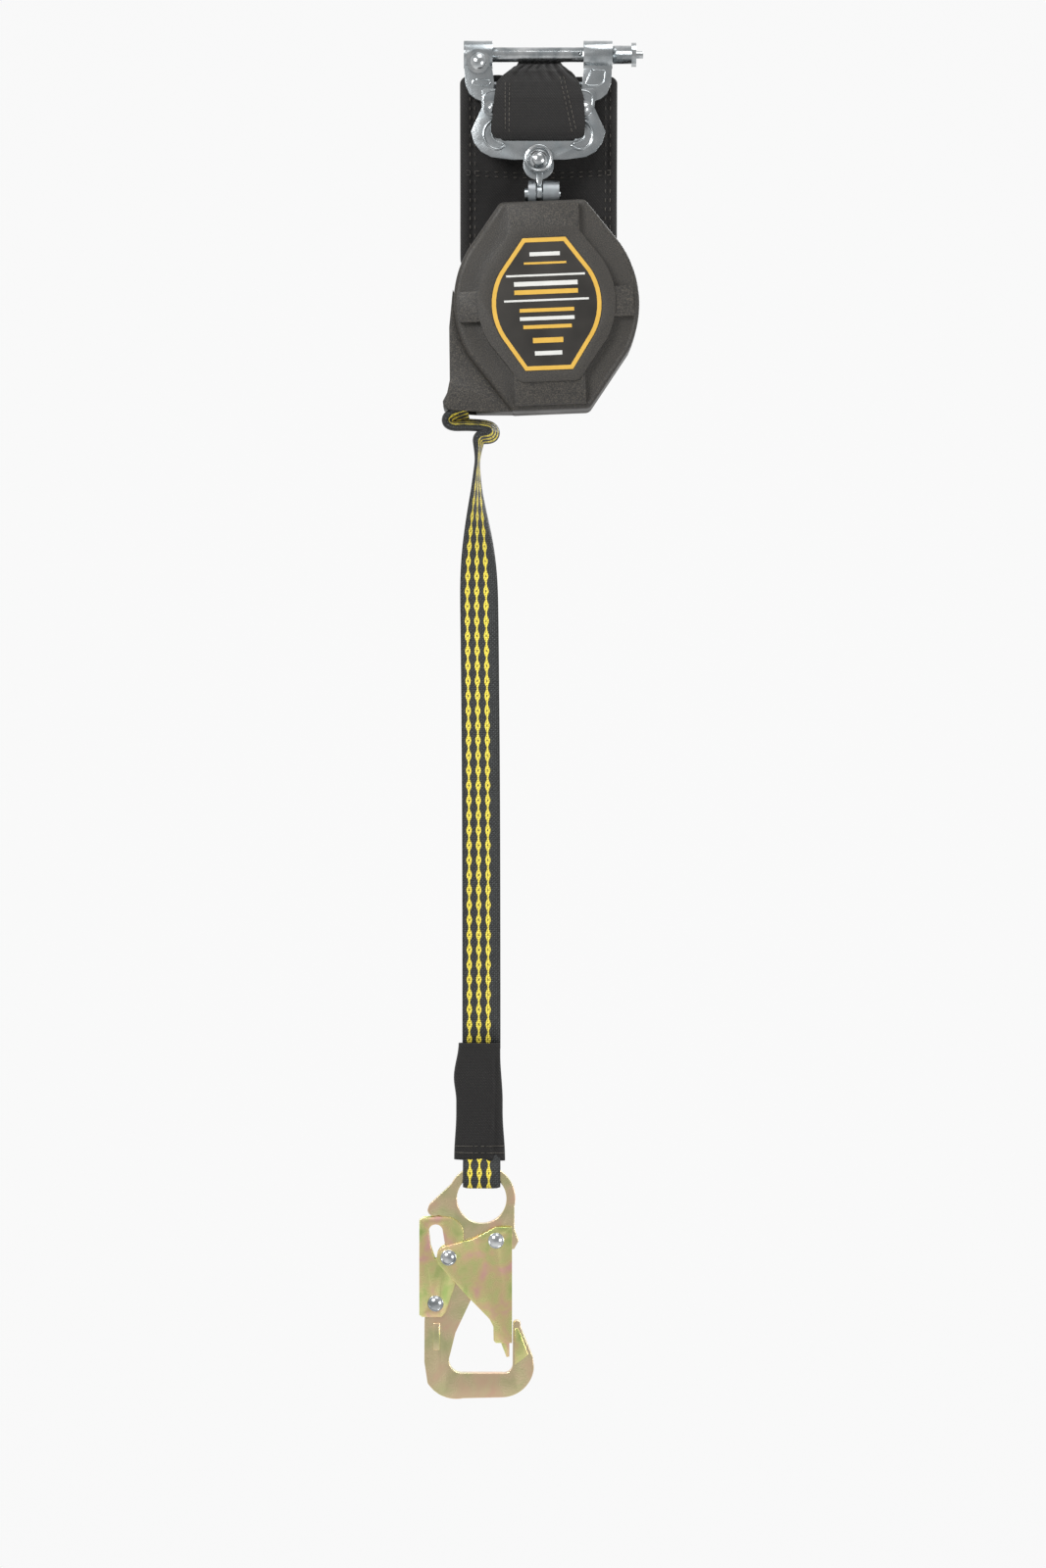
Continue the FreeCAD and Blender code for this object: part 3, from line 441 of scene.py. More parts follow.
MAKERS = {
    "zinc": zinc_plate,
    "polished": polished_steel,
    "steel": plain_steel,
    "gold": lambda: yellow_zinc("Passivated Forging", FORGED_TONES, 19.0),
    "folded": lambda: yellow_zinc("Passivated Sheet", FOLDED_TONES, 15.0),
    "nylon": moulded_nylon,
    "film": label_film,
    "cloth": pack_cloth,
    "thread": sewing_thread,
    "web": tracer_web,
    "white_ink": lambda: printed_ink("White Ink", "CFCFCB"),
    "gold_ink": lambda: printed_ink("Gold Ink", colours().ink),
}
MADE = {}


def finish(key):
    if key not in MADE:
        MADE[key] = MAKERS[key]()
    return MADE[key]


# ---- where things are --------------------------------------------------------
def middle(node):
    low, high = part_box(node)
    return (low + high) / 2


YOKE_FRONT, YOKE_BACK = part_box("yoke_plate")[0].y / MM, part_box("yoke_plate")[1].y / MM
LINE_Y = middle("lifeline_web").y
LABEL_FRONT, LABEL_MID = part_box("label_plate")[0].y, middle("label_plate")
LEAN = math.radians(2.3)
INK_SUNK, BAR_RISE, BORDER_RISE = 0.05 * MM, 0.1 * MM, 0.12 * MM
SLEEVE_LOW, SLEEVE_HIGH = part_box("web_sleeve")
POUCH_LOW, POUCH_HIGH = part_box("absorber_pouch")

# The web's route from the nozzle: a tight S fold, then down to the sleeve.
WEB_ROUTE = [
    (-0.0470, -0.2392), (-0.0590, -0.2425), (-0.0595, -0.2487), (-0.0450, -0.2482), (-0.0305, -0.2495),
    (-0.0300, -0.2560), (-0.0395, -0.2562), (-0.0402, -0.2640), (-0.0412, -0.2920), (-0.0396, -0.3400),
    (-0.0386, -0.4200), (-0.0378, -0.5400), (-0.0378, -0.6640),
]
TWIST_FROM, TWIST_TO = -0.258, -0.385
HEM_AT = 0.9  # how far down the sleeve its hem starts


def ease(value, low, high):
    t = max(0.0, min(1.0, (value - low) / (high - low)))
    return t * t * (3 - 2 * t)


def leaned(x, z, y=0.0):
    """A place on the housing's face, given about the label's centre, turned with the housing."""
    return Vector((LABEL_MID.x + x * math.cos(LEAN) - z * math.sin(LEAN), y,
                   LABEL_MID.z + x * math.sin(LEAN) + z * math.cos(LEAN)))


def spline_points(points, resolution=10):
    """Points along a smooth NURBS line through space."""
    curve = bpy.data.curves.new("route", "CURVE")
    curve.dimensions = "3D"
    spline = curve.splines.new("NURBS")
    spline.points.add(len(points) - 1)
    for point, place in zip(spline.points, points):
        point.co = (*place, 1.0)
    spline.order_u = 3
    spline.use_endpoint_u = True
    spline.resolution_u = resolution
    holder = bpy.data.objects.new("route", curve)
    bpy.context.scene.collection.objects.link(holder)
    bpy.context.view_layer.update()
    mesh = bpy.data.meshes.new_from_object(holder)
    found = [v.co.copy() for v in mesh.vertices]
    bpy.data.objects.remove(holder)
    bpy.data.meshes.remove(mesh)
    return found


def loft(name, rings, capped=True):
    """Skin a list of closed rings that all have the same number of points."""
    count = len(rings[0])
    verts = [tuple(p) for ring in rings for p in ring]
    faces = []
    for r in range(len(rings) - 1):
        for i in range(count):
            j = (i + 1) % count
            faces.append((r * count + i, r * count + j, (r + 1) * count + j, (r + 1) * count + i))
    if capped:
        faces.append(tuple(range(count - 1, -1, -1)))
        faces.append(tuple((len(rings) - 1) * count + i for i in range(count)))
    return mesh_piece(name, verts, faces)


def strap(name, path, side_at, width, thickness, lanes=10):
    """A flat web swept along a path; its UV is in millimetres across and along."""
    rings, marks, run = [], [], 0.0
    for k, here in enumerate(path):
        before, after = path[max(k - 1, 0)], path[min(k + 1, len(path) - 1)]
        tangent = (after - before).normalized()
        side = side_at(here, tangent).normalized()
        face = tangent.cross(side).normalized()
        if k:
            run += (here - path[k - 1]).length
        ring, mark = [], []
        thick = thickness(here) if callable(thickness) else thickness
        for way in (1, -1):
            for i in range(lanes + 1) if way > 0 else range(lanes, -1, -1):
                u = i / lanes
                thin = way * thick / 2 * (1 - 0.75 * abs(2 * u - 1) ** 8)
                ring.append(here + side * (u - 0.5) * width + face * thin)
                mark.append((u * width / MM, run / MM))
        rings.append(ring)
        marks += mark
    obj = loft(name, rings)
    layer = obj.data.uv_layers.new(name="web")
    for loop in obj.data.loops:
        layer.data[loop.index].uv = marks[loop.vertex_index]
    return obj, run


def stitches(name, rows, body, normal=FRONT, gap=1.5, thick=0.3 * MM):
    """Rows of thread: each row is a list of points on the cloth, each stitch a small rounded bar."""
    verts, faces = [], []
    length = sizes().stitch_length
    for row in rows:
        for start, end in zip(row, row[1:]):
            run = (end - start).length
            count = max(1, int(run / (length * gap)))
            along = (end - start).normalized()
            across = along.cross(normal).normalized() * thick
            up = normal * thick * 0.8
            for k in range(count):
                centre = start.lerp(end, (k + 0.5) / count)
                tip = along * length / 2
                base = len(verts)
                for share, swell in ((-1.0, 0.35), (-0.6, 1.0), (0.6, 1.0), (1.0, 0.35)):
                    for turn in range(6):
                        a = turn * math.pi / 3
                        verts.append(tuple(centre + tip * share + across * math.cos(a) * swell
                                           + up * math.sin(a) * swell))
                for ring in (base, base + 6, base + 12):
                    for i in range(6):
                        j = (i + 1) % 6
                        faces.append((ring + i, ring + j, ring + 6 + j, ring + 6 + i))
                faces.append(tuple(base + i for i in range(5, -1, -1)))
                faces.append(tuple(base + 18 + i for i in range(6)))
    finish_piece(mesh_piece(name, verts, faces), body, finish("thread"))


def ridge(name, corners, radius, y, body, key, closed=False):
    """A low raised bead on a front face, along corners given as x and z in millimetres."""
    places = [(x * MM, y * MM, z * MM) for x, z in corners]
    path = spline_points(places + places[:1] if closed else places, 6)
    rings = []
    for k, here in enumerate(path):
        tangent = (path[min(k + 1, len(path) - 1)] - path[max(k - 1, 0)]).normalized()
        side = tangent.cross(FRONT).normalized()
        turns = [i * math.pi / 5 for i in range(10)]
        rings.append([here + (side * math.cos(a) + FRONT * math.sin(a) * 0.8) * radius * MM for a in turns])
    finish_piece(loft(name, rings), body, finish(key))


def turned_rim(name, place, radius, bead, segments, body):
    """A round rim that faces the front, around a rivet or an eye."""
    deselect()
    bpy.ops.mesh.primitive_torus_add(location=place, rotation=(math.pi / 2, 0, 0), major_radius=radius,
                                     minor_radius=bead, major_segments=segments, minor_segments=12)
    rim = bpy.context.object
    rim.name = name
    settle(rim)
    bpy.ops.object.shade_smooth()
    finish_piece(rim, body, finish("polished"))


# ---- connector ---------------------------------------------------------------
class LIFELINE_OT_connector(bpy.types.Operator):
    """Round the connector's stamped and turned steel and plate it"""
    bl_idname = "lifeline.connector"
    bl_label = "Harness Connector"

    def execute(self, context):
        round_off = sizes().stamped_round
        for node, name, body, width in (
                ("left_arm", "arm_left_forging", "connector", round_off * 1.4),
                ("right_arm", "arm_right_forging", "connector", round_off * 1.4),
                ("yoke_plate", "yoke_stamping", "connector", round_off * 1.2),
                ("swivel_link", "swivel_forging", "link", round_off)):
            finish_piece(eased_copy(node, name, width, 3), body, finish("zinc"))
        for node, name, body in (
                ("pin_shaft", "cross_pin_turned", "lock_pin"), ("pin_button", "button_turned", "button")):
            finish_piece(eased_copy(node, name, TURNED_EDGE, 1), body, finish("polished"))
        for key, nodes in (
                ("polished", ("yoke_rivets", "knuckle_dome", "swivel_rivet", "lock_balls", "gate_pivot",
                              "gate_studs", "lever_pivot")),
                ("steel", ("absorber_bar", "load_frame", "main_shaft", "ratchet_ring", "power_spring",
                           "web_rollers", "housing_screws", "pawl_pins", "pawl_left", "pawl_right",
                           "web_drum")),
                ("zinc", ("clevis_pin",)), ("nylon", ("spring_cup",)),
                ("cloth", ("wound_webbing", "tear_webbing"))):
            for node in nodes:
                dress(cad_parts[node], finish(key))
        self.press_panels()
        return {"FINISHED"}

    def press_panels(self):
        """The raised beads pressed into the arms' faces, the yoke's tabs and its corners."""
        eye = (SWIVEL_EYE[0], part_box("swivel_link")[0].y + 0.2 * MM, SWIVEL_EYE[1])
        turned_rim("swivel_eye_bead", eye, 8.4 * MM, 1.1 * MM, 56, "link")
        pill = [(-42.6, -17.2), (-33.4, -17.2), (-31.4, -19.3),
                (-33.4, -21.4), (-42.6, -21.4), (-44.6, -19.3)]
        window = [(35.8, -10.9), (44.4, -10.9), (45.0, -12.5), (43.6, -21.2), (32.0, -21.6), (31.9, -18.6)]
        for name, corners in (("pressed_pill", pill), ("pressed_window", window)):
            ridge(name, corners, 0.6, YOKE_BACK, "connector", "zinc", closed=True)
        outer = [(30.4, -45.0), (35.6, -48.4), (36.8, -57.0), (31.8, -63.8), (25.2, -65.0), (21.8, -61.2)]
        inner = [(30.8, -46.6), (31.6, -53.4), (28.8, -59.4), (23.0, -60.8)]
        tab = [(27.0, -25.2), (36.4, -25.2), (36.2, -36.0), (34.4, -42.4), (29.3, -43.8)]
        for side, word in ((-1, "left"), (1, "right")):
            for part, corners, radius in (("outer", outer, 0.95), ("inner", inner, 0.75), ("tab", tab, 0.6)):
                ridge(f"yoke_{part}_bead_{word}", [(side * x, z) for x, z in corners], radius, YOKE_FRONT,
                      "connector", "zinc")


# ---- housing -----------------------------------------------------------------
class LIFELINE_OT_housing(bpy.types.Operator):
    """Round the moulded shells and give them their spark-eroded grain"""
    bl_idname = "lifeline.housing"
    bl_label = "Housing Shells"

    def execute(self, context):
        for node, name in (("front_shell", "front_shell_moulding"), ("rear_shell", "rear_shell_moulding")):
            finish_piece(eased_copy(node, name, 0.9 * MM, 3, 22), "housing", finish("nylon"))
        return {"FINISHED"}


def printed_border(name, outline, hole, key):
    """A flat printed band on the label between two outlines, given about the label's centre."""
    verts, faces = [], []
    for loop in (outline, hole):
        for y in (LABEL_FRONT - BORDER_RISE, LABEL_FRONT + INK_SUNK):
            verts += [tuple(leaned(x, z, y)) for x, z in loop]
    n = len(outline)
    for i in range(n):
        j = (i + 1) % n
        faces.append((i, j, 2 * n + j, 2 * n + i))
        faces.append((i, n + i, n + j, j))
        faces.append((2 * n + i, 2 * n + j, 3 * n + j, 3 * n + i))
        faces.append((n + i, 3 * n + i, 3 * n + j, n + j))
    finish_piece(mesh_piece(name, verts, faces, smooth=False), "housing", finish(key))


def printed_bar(name, z, wide, tall, key):
    """A plain printed bar across the label's middle, its height and size in millimetres."""
    deselect()
    bpy.ops.mesh.primitive_cube_add(
        size=1, location=leaned(0, z * MM, LABEL_FRONT + (INK_SUNK - BAR_RISE) / 2), rotation=(0, -LEAN, 0),
        scale=(wide * MM, INK_SUNK + BAR_RISE, tall * MM))
    bar = bpy.context.object
    bar.name = name
    settle(bar)
    finish_piece(bar, "housing", finish(key))


def arc(points, steps=10):
    """A circle's arc through three points."""
    (ax, ay), (bx, by), (cx, cy) = points
    d = 2 * (ax * (by - cy) + bx * (cy - ay) + cx * (ay - by))
    a, b, c = ax ** 2 + ay ** 2, bx ** 2 + by ** 2, cx ** 2 + cy ** 2
    ux = (a * (by - cy) + b * (cy - ay) + c * (ay - by)) / d
    uy = (a * (cx - bx) + b * (ax - cx) + c * (bx - ax)) / d
    radius = math.hypot(ax - ux, ay - uy)
    start = math.atan2(ay - uy, ax - ux)
    end = math.atan2(cy - uy, cx - ux)
    if end - start > math.pi:
        end -= 2 * math.pi
    if start - end > math.pi:
        end += 2 * math.pi
    return [(ux + radius * math.cos(start + (end - start) * k / steps),
             uy + radius * math.sin(start + (end - start) * k / steps)) for k in range(steps + 1)]


def label_outline(inset):
    """The label's shield shape, shrunk by an inset."""
    w = 36.5 * MM - inset
    h = 44.0 * MM - inset
    top, bottom = 14.3 * MM - inset * 0.5, 15.8 * MM - inset * 0.5
    left = arc([(-w * 0.83, h * 0.5), (-w, 0.0), (-w * 0.83, -h * 0.5)])
    right = arc([(w * 0.83, -h * 0.5), (w, 0.0), (w * 0.83, h * 0.5)])
    return [(top, h), (-top, h)] + left + [(-bottom, -h), (bottom, -h)] + right


class LIFELINE_OT_label(bpy.types.Operator):
    """Print the label: a gold border and plain bars in place of any wording"""
    bl_idname = "lifeline.label"
    bl_label = "Label Print"

    def execute(self, context):
        dress(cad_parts["label_plate"], finish("film"))
        printed_border("label_border", label_outline(0.3 * MM), label_outline(3.1 * MM), "gold_ink")
        bars = (
            (33.0, 20, 2.6, "white_ink"), (27.0, 28, 1.4, "gold_ink"), (19.0, 52, 1.3, "white_ink"),
            (13.5, 42, 3.0, "white_ink"), (8.0, 42, 3.0, "gold_ink"), (2.5, 56, 1.3, "white_ink"),
            (-4.0, 36, 2.4, "gold_ink"), (-9.5, 36, 2.4, "white_ink"), (-15.0, 32, 2.4, "gold_ink"),
            (-24.0, 20, 3.4, "gold_ink"), (-32.5, 18, 2.8, "white_ink"),
        )
        for k, (z, wide, tall, ink) in enumerate(bars):
            printed_bar(f"label_bar_{k + 1}", z, wide, tall, ink)
        return {"FINISHED"}


# ---- pouch and flap ----------------------------------------------------------
def pouch_profile():
    """Side view of the pouch, nose first then down the front: y and z in metres."""
    corners = [(3.4, -17), (5.4, -36), (9.6, -62), (14.6, -84), (17.6, -98), (17.6, -120), (17.9, -134),
               (21, -139.5), (28, -140), (34.5, -139.5), (38, -134), (38.4, -100), (38.4, -60), (36.0, -38),
               (31, -28), (24, -17.5), (15, -12.8), (8, -12.3), (4.6, -13.6)]
    return [(y * MM, z * MM) for y, z in corners]


def row_at(table, z):
    """A height table's values at z. Its rows start with their height and run downwards."""
    for (top, *above), (low, *below) in zip(table, table[1:]):
        if low <= z <= top:
            return [a + (b - a) * (z - top) / (low - top) for a, b in zip(above, below)]
    return table[0][1:] if z > table[0][0] else table[-1][1:]


def swell(away, wide):
    """One at no distance away, smoothly falling to nothing within a few widths."""
    return math.exp(-(away / wide) ** 2)


# Each row is a height in millimetres and the depth of the pouch's front face there.
POUCH_FRONT = [(-17, 3.4), (-36, 5.4), (-62, 9.6), (-84, 14.6), (-98, 17.6), (-140, 17.8)]


def front_of_pouch(z):
    return row_at(POUCH_FRONT, z / MM)[0] * MM


class LIFELINE_OT_pouch(bpy.types.Operator):
    """Sew the absorber pouch: a padded cloth bag with side seams and a double cross seam"""
    bl_idname = "lifeline.pouch"
    bl_label = "Absorber Pouch"

    seam_left: bpy.props.FloatProperty(
        name="Left seam", description="Left seam's place", default=-44 * MM, unit="LENGTH")
    seam_right: bpy.props.FloatProperty(
        name="Right seam", description="Right seam's place", default=46.8 * MM, unit="LENGTH")
    seam_cross: bpy.props.FloatProperty(
        name="Cross seam", description="Height of the cross seam", default=-76.5 * MM, unit="LENGTH")

    def execute(self, context):
        loop = pouch_profile()
        closed = [(0, y, z) for y, z in loop] + [(0, *loop[0])]
        fine = [Vector(p) for p in spline_points(closed, 5)][:-1]
        rings = []
        steps = 72
        rim = 6.0 * MM
        centre = Vector((0, sum(p.y for p in fine) / len(fine), sum(p.z for p in fine) / len(fine)))
        for s in range(steps + 1):
            share = 0.5 - 0.5 * math.cos(math.pi * s / steps)
            x = POUCH_LOW.x + (POUCH_HIGH.x - POUCH_LOW.x) * share
            edge = min(x - POUCH_LOW.x, POUCH_HIGH.x - x)
            inset = rim - math.sqrt(max(0.0, rim ** 2 - max(0.0, rim - edge) ** 2))
            ring = []
            for k, p in enumerate(fine):
                flat = (fine[(k + 1) % len(fine)] - fine[k - 1]).normalized()
                outward = Vector((0, -flat.z, flat.y))
                if outward.dot(p - centre) < 0:
                    outward = -outward
                ring.append(Vector((x, p.y, p.z)) - outward * inset * 0.9 + outward * self.puff(x, p))
            rings.append(ring)
        pouch = loft("pouch_cloth", rings)
        modify(pouch, "SUBSURF", levels=1, render_levels=1)
        bpy.ops.object.shade_smooth()
        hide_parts("absorber_pouch")
        finish_piece(pouch, "pack", finish("cloth"))
        self.sew()
        return {"FINISHED"}

    def puff(self, x, p):
        """Slack, wrinkles and sewn grooves, as a distance along the cloth's normal."""
        wrinkle = noise.noise(Vector((x * 60, p.y * 60, p.z * 38))) * 1.3 * MM
        wrinkle += noise.noise(Vector((x * 170, p.y * 150, p.z * 110 + 3))) * 0.5 * MM
        groove = swell(x - self.seam_left, 1.4 * MM) + swell(x - self.seam_right, 1.4 * MM)
        groove += swell(p.z - self.cross_at(x), 1.6 * MM)
        return wrinkle - 1.1 * MM * groove - 0.4 * MM

    def cross_at(self, x):
        """Height of the cross seam, which bows a little."""
        return self.seam_cross - 2.4 * MM * math.cos(x * 28)

    def sew(self):
        rows = []
        for seam in (self.seam_left, self.seam_right):
            for offset in (-1.6, 1.6):
                rows.append([Vector((seam + offset * MM, front_of_pouch(z * MM) - 0.5 * MM, z * MM))
                             for z in range(-20, -134, -6)])
        for offset in (-1.5, 1.5):
            row = []
            for k in range(17):
                x = (-50 + k * 6.3) * MM
                z = self.cross_at(x) + offset * MM
                row.append(Vector((x, front_of_pouch(z) - 0.5 * MM, z)))
            rows.append(row)
        stitches("pouch_stitches", rows, "pack")


# Heights in millimetres below the pin, with the flap's left and right edges there.
FLAP_EDGES = [(-2, -12, 14), (-7, -14.5, 16.5), (-10.7, -19, 20), (-14.7, -23.5, 24), (-20, -27.8, 27.4),
              (-30, -29.2, 30.2), (-44, -30.6, 31.2), (-50, -31.6, 31.4), (-54, -31.4, 30.8),
              (-56.2, -28.6, 28.4), (-57.6, -24.4, 24.4), (-58.5, -22.5, 22.8)]
# The same with the cloth's depth, from behind the pin to behind the yoke's bar.
FLAP_FRONT = [(-2, 6.4), (-5.5, 4.0), (-8, -1.4), (-12, -6.0), (-20, -10.4), (-30, -13.2), (-40, -13.4),
              (-50, -12.9), (-54, -12.0), (-56.2, -10.4), (-57.6, -7.8), (-58.5, -5.6)]
# The two ends of each row of thread, as x and z.
FLAP_SEAMS = [((-19, -16), (-19.5, -54)), ((-22, -20), (-22, -52)), ((16.7, -15), (25.2, -52)),
              ((14.2, -15), (22.6, -54))]
FLAP_TOP, FLAP_FOOT = -2.2, -58.2


class LIFELINE_OT_flap(bpy.types.Operator):
    """Hang the cover flap, gathered behind the pin and tucked behind the yoke"""
    bl_idname = "lifeline.flap"
    bl_label = "Cover Flap"

    def execute(self, context):
        columns, rows = 64, 72
        verts, faces = [], []
        for r in range(rows + 1):
            z = FLAP_TOP + (FLAP_FOOT - FLAP_TOP) * r / rows
            left, right = row_at(FLAP_EDGES, z)
            front = row_at(FLAP_FRONT, z)[0]
            gather = 1.0 - ease(-z, 8, 30)
            for c in range(columns + 1):
                u = c / columns
                x = left + (right - left) * u
                folds = math.sin(u * 6.5 * 2 * math.pi + 0.8 * math.sin(z * 0.4)) * 1.25 * gather
                sag = noise.noise(Vector((x * 0.09, z * 0.07, 4.0))) * 0.5
                hem = 0.45 * swell(z + 11.5 - 0.8 * math.sin(x * 0.5), 1.0)
                y = front + folds * (1 if z < -7 else 0.4) + sag * (1 - gather) - hem
                verts.append((x * MM, y * MM, z * MM))
        for r in range(rows):
            for c in range(columns):
                a = r * (columns + 1) + c
                faces.append((a, a + 1, a + columns + 2, a + columns + 1))
        flap = mesh_piece("flap_cloth", verts, faces)
        modify(flap, "SOLIDIFY", thickness=CLOTH_THICK, offset=0)
        bpy.ops.object.shade_smooth()
        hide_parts("flap_cover")
        finish_piece(flap, "connector", finish("cloth"))
        rows_sewn = []
        for (x0, z0), (x1, z1) in FLAP_SEAMS:
            row = [(x0 + (x1 - x0) * k / 11, z0 + (z1 - z0) * k / 11) for k in range(12)]
            rows_sewn.append([Vector((x, row_at(FLAP_FRONT, z)[0] - 0.75, z)) * MM for x, z in row])
        stitches("flap_stitches", rows_sewn, "connector")
        return {"FINISHED"}


# ---- web, sleeve and loop ----------------------------------------------------
class LIFELINE_OT_web(bpy.types.Operator):
    """Weave the lifeline web with its fold at the nozzle and its quarter twist"""
    bl_idname = "lifeline.web"
    bl_label = "Lifeline Web"

    def execute(self, context):
        path = spline_points([(x, LINE_Y, z) for x, z in WEB_ROUTE], 12)

        def side_at(here, tangent):
            turn = ease(-here.z, -TWIST_FROM, -TWIST_TO) * math.pi / 2
            turn += 0.28 * (1 - ease(-here.z, 0.25, 0.275))
            depth = Vector((0, 1, 0))
            return depth * math.cos(turn) + tangent.cross(depth).normalized() * math.sin(turn)

        def bunched(here):
            """The web doubles on itself in the fold and flattens below it."""
            return sizes().web_thickness * (1 + 1.0 * (1 - ease(-here.z, 0.254, 0.275)))

        web, _ = strap("lifeline_webbing", path, side_at, sizes().web_width, bunched)
        dress(web, finish("web"))
        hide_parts("lifeline_web")
        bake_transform(web)
        return {"FINISHED"}


class LIFELINE_OT_sleeve(bpy.types.Operator):
    """Make the cloth sleeve over the sewn end, with its fold and its hem"""
    bl_idname = "lifeline.sleeve"
    bl_label = "Web Sleeve"

    def ring(self, z, around=56):
        share = (SLEEVE_HIGH.z - z) / (SLEEVE_HIGH.z - SLEEVE_LOW.z)
        left = -53.0 - 3.2 * ease(share, 0.0, 0.3) + 1.6 * ease(share, 0.3, 0.5) - 1.4 * ease(share, 0.6, 1.0)
        right = -25.2 + 1.6 * ease(share, 0.1, 0.5) + 1.6 * ease(share, 0.6, 1.0)
        middle_x, half = (left + right) / 2 * MM, (right - left) / 2 * MM
        deep = (3.6 + 1.7 * ease(share, 0.05, 0.4) + 0.6 * ease(share, 0.7, 1.0)) * MM
        points = []
        for k in range(around):
            a = 2 * math.pi * k / around
            c, s = math.cos(a), math.sin(a)
            x = middle_x + half * math.copysign(abs(c) ** 0.62, c)
            y = LINE_Y + deep * math.copysign(abs(s) ** 0.8, s)
            fold = swell(x / MM + 31.0 - 1.2 * math.sin(share * 4), 1.5) - 0.8 * swell(x / MM + 28.6, 1.4)
            if s < 0:
                y -= fold * 1.9 * MM * ease(share, 0.02, 0.2)
            y += 0.5 * MM * swell(share - HEM_AT, 0.012) * (1 if s < 0 else -1)
            y += noise.noise(Vector((x * 120, s * 2, z * 60))) * 0.7 * MM
            droop = 2.2 * MM * (0.4 + c * 0.2) * max(0.0, share - HEM_AT) / (1 - HEM_AT)
            points.append(Vector((x, y, z - droop)))
        return points

    def execute(self, context):
        count = 46
        tall = SLEEVE_HIGH.z - SLEEVE_LOW.z
        rings = [self.ring(SLEEVE_HIGH.z - tall * k / count) for k in range(count + 1)]
        sleeve = loft("sleeve_cloth", rings, capped=False)
        modify(sleeve, "SOLIDIFY", thickness=CLOTH_THICK, offset=-1)
        bpy.ops.object.shade_smooth()
        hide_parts("web_sleeve")
        finish_piece(sleeve, "line", finish("cloth"))
        rows = []
        for low in (4.5, 8.5):
            z = SLEEVE_LOW.z + low * MM
            ring = [p for p in self.ring(z) if p.y < LINE_Y]
            ring.sort(key=lambda p: p.x)
            rows.append([p + FRONT * 0.35 * MM for p in ring[3:-3]])
        stitches("sleeve_stitches", rows, "line")
        return {"FINISHED"}


class LIFELINE_OT_loop(bpy.types.Operator):
    """Pass the web's end loop through the hook's eye"""
    bl_idname = "lifeline.loop"
    bl_label = "Web End Loop"

    def execute(self, context):
        outline = [(-2.2, -728), (-2.6, -736), (-8.6, -741), (-9.4, -749), (-8.2, -755.2), (-3.0, -755.6),
                   (3.0, -755.6), (8.2, -755.2), (9.4, -749), (8.6, -741), (2.6, -736), (2.2, -728)]
        eye_x = middle("web_loop").x
        path = spline_points([(eye_x, LINE_Y + y * MM, z * MM) for y, z in outline], 10)
        loop, _ = strap("end_loop_webbing", path, lambda here, tangent: Vector((1, 0, 0)),
                        sizes().web_width * 0.98, sizes().web_thickness)
        dress(loop, finish("web"))
        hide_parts("web_loop")
        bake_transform(loop)
        return {"FINISHED"}


# ---- hook --------------------------------------------------------------------
class LIFELINE_OT_hook(bpy.types.Operator):
    """Round the forged hook, its gate and its lock lever and passivate them"""
    bl_idname = "lifeline.hook"
    bl_label = "Tie Back Hook"

    def execute(self, context):
        for node, name, body, width, segments in (
                ("hook_body", "hook_forging", "hook", sizes().edge_round, 4),
                ("gate_plate", "gate_folding", "gate", 0.5 * MM, 2),
                ("lock_lever", "lever_folding", "lever", 0.5 * MM, 2)):
            tone = finish("gold" if body == "hook" else "folded")
            finish_piece(eased_copy(node, name, width, segments), body, tone)
        for node, sheet, body in (("gate_pivot", "gate_plate", "hook"), ("lever_pivot", "lock_lever", "hook"),
                                  ("gate_studs", "gate_plate", "gate")):
            self.rims(node, sheet, body)
        self.nose_pad()
        deselect()
        bpy.ops.mesh.primitive_cube_add(size=1, location=(FORGED_PAD[0], LINE_Y - 5.3 * MM, FORGED_PAD[1]),
                                        scale=(4.4 * MM, 1.0 * MM, 18 * MM))
        pad = bpy.context.object
        pad.name = "plain_forged_pad"
        settle(pad)
        modify(pad, "BEVEL", width=0.45 * MM, segments=3)
        bpy.ops.object.shade_smooth_by_angle(angle=math.radians(40))
        finish_piece(pad, "hook", finish("gold"))
        return {"FINISHED"}

    def rims(self, node, sheet, body):
        """The pressed rim around a rivet's head, on both faces of the sheet."""
        centre = middle(node)
        low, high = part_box(sheet)
        for y, word in ((low.y, "front"), (high.y, "back")):
            turned_rim(f"{node}_rim_{word}", (centre.x, y, centre.z), RIVET_RIM_R, 0.7 * MM, 44,
                       body)

    def nose_pad(self):
        """The flat land forged into the nose."""
        corners = [(-15.6, -850.0), (-13.4, -849.2), (-6.6, -867.2), (-15.6, -874.0)]
        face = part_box("hook_body")[0].y
        verts = [(x * MM, y, z * MM) for y in (face - 0.3 * MM, face + 1.0 * MM) for x, z in corners]
        faces = [(3, 2, 1, 0), (4, 5, 6, 7)] + [(i, (i + 1) % 4, (i + 1) % 4 + 4, i + 4) for i in range(4)]
        land = mesh_piece("nose_land", verts, faces)
        modify(land, "BEVEL", width=0.25 * MM, segments=2)
        bpy.ops.object.shade_smooth_by_angle(angle=math.radians(35))
        finish_piece(land, "hook", finish("folded"))


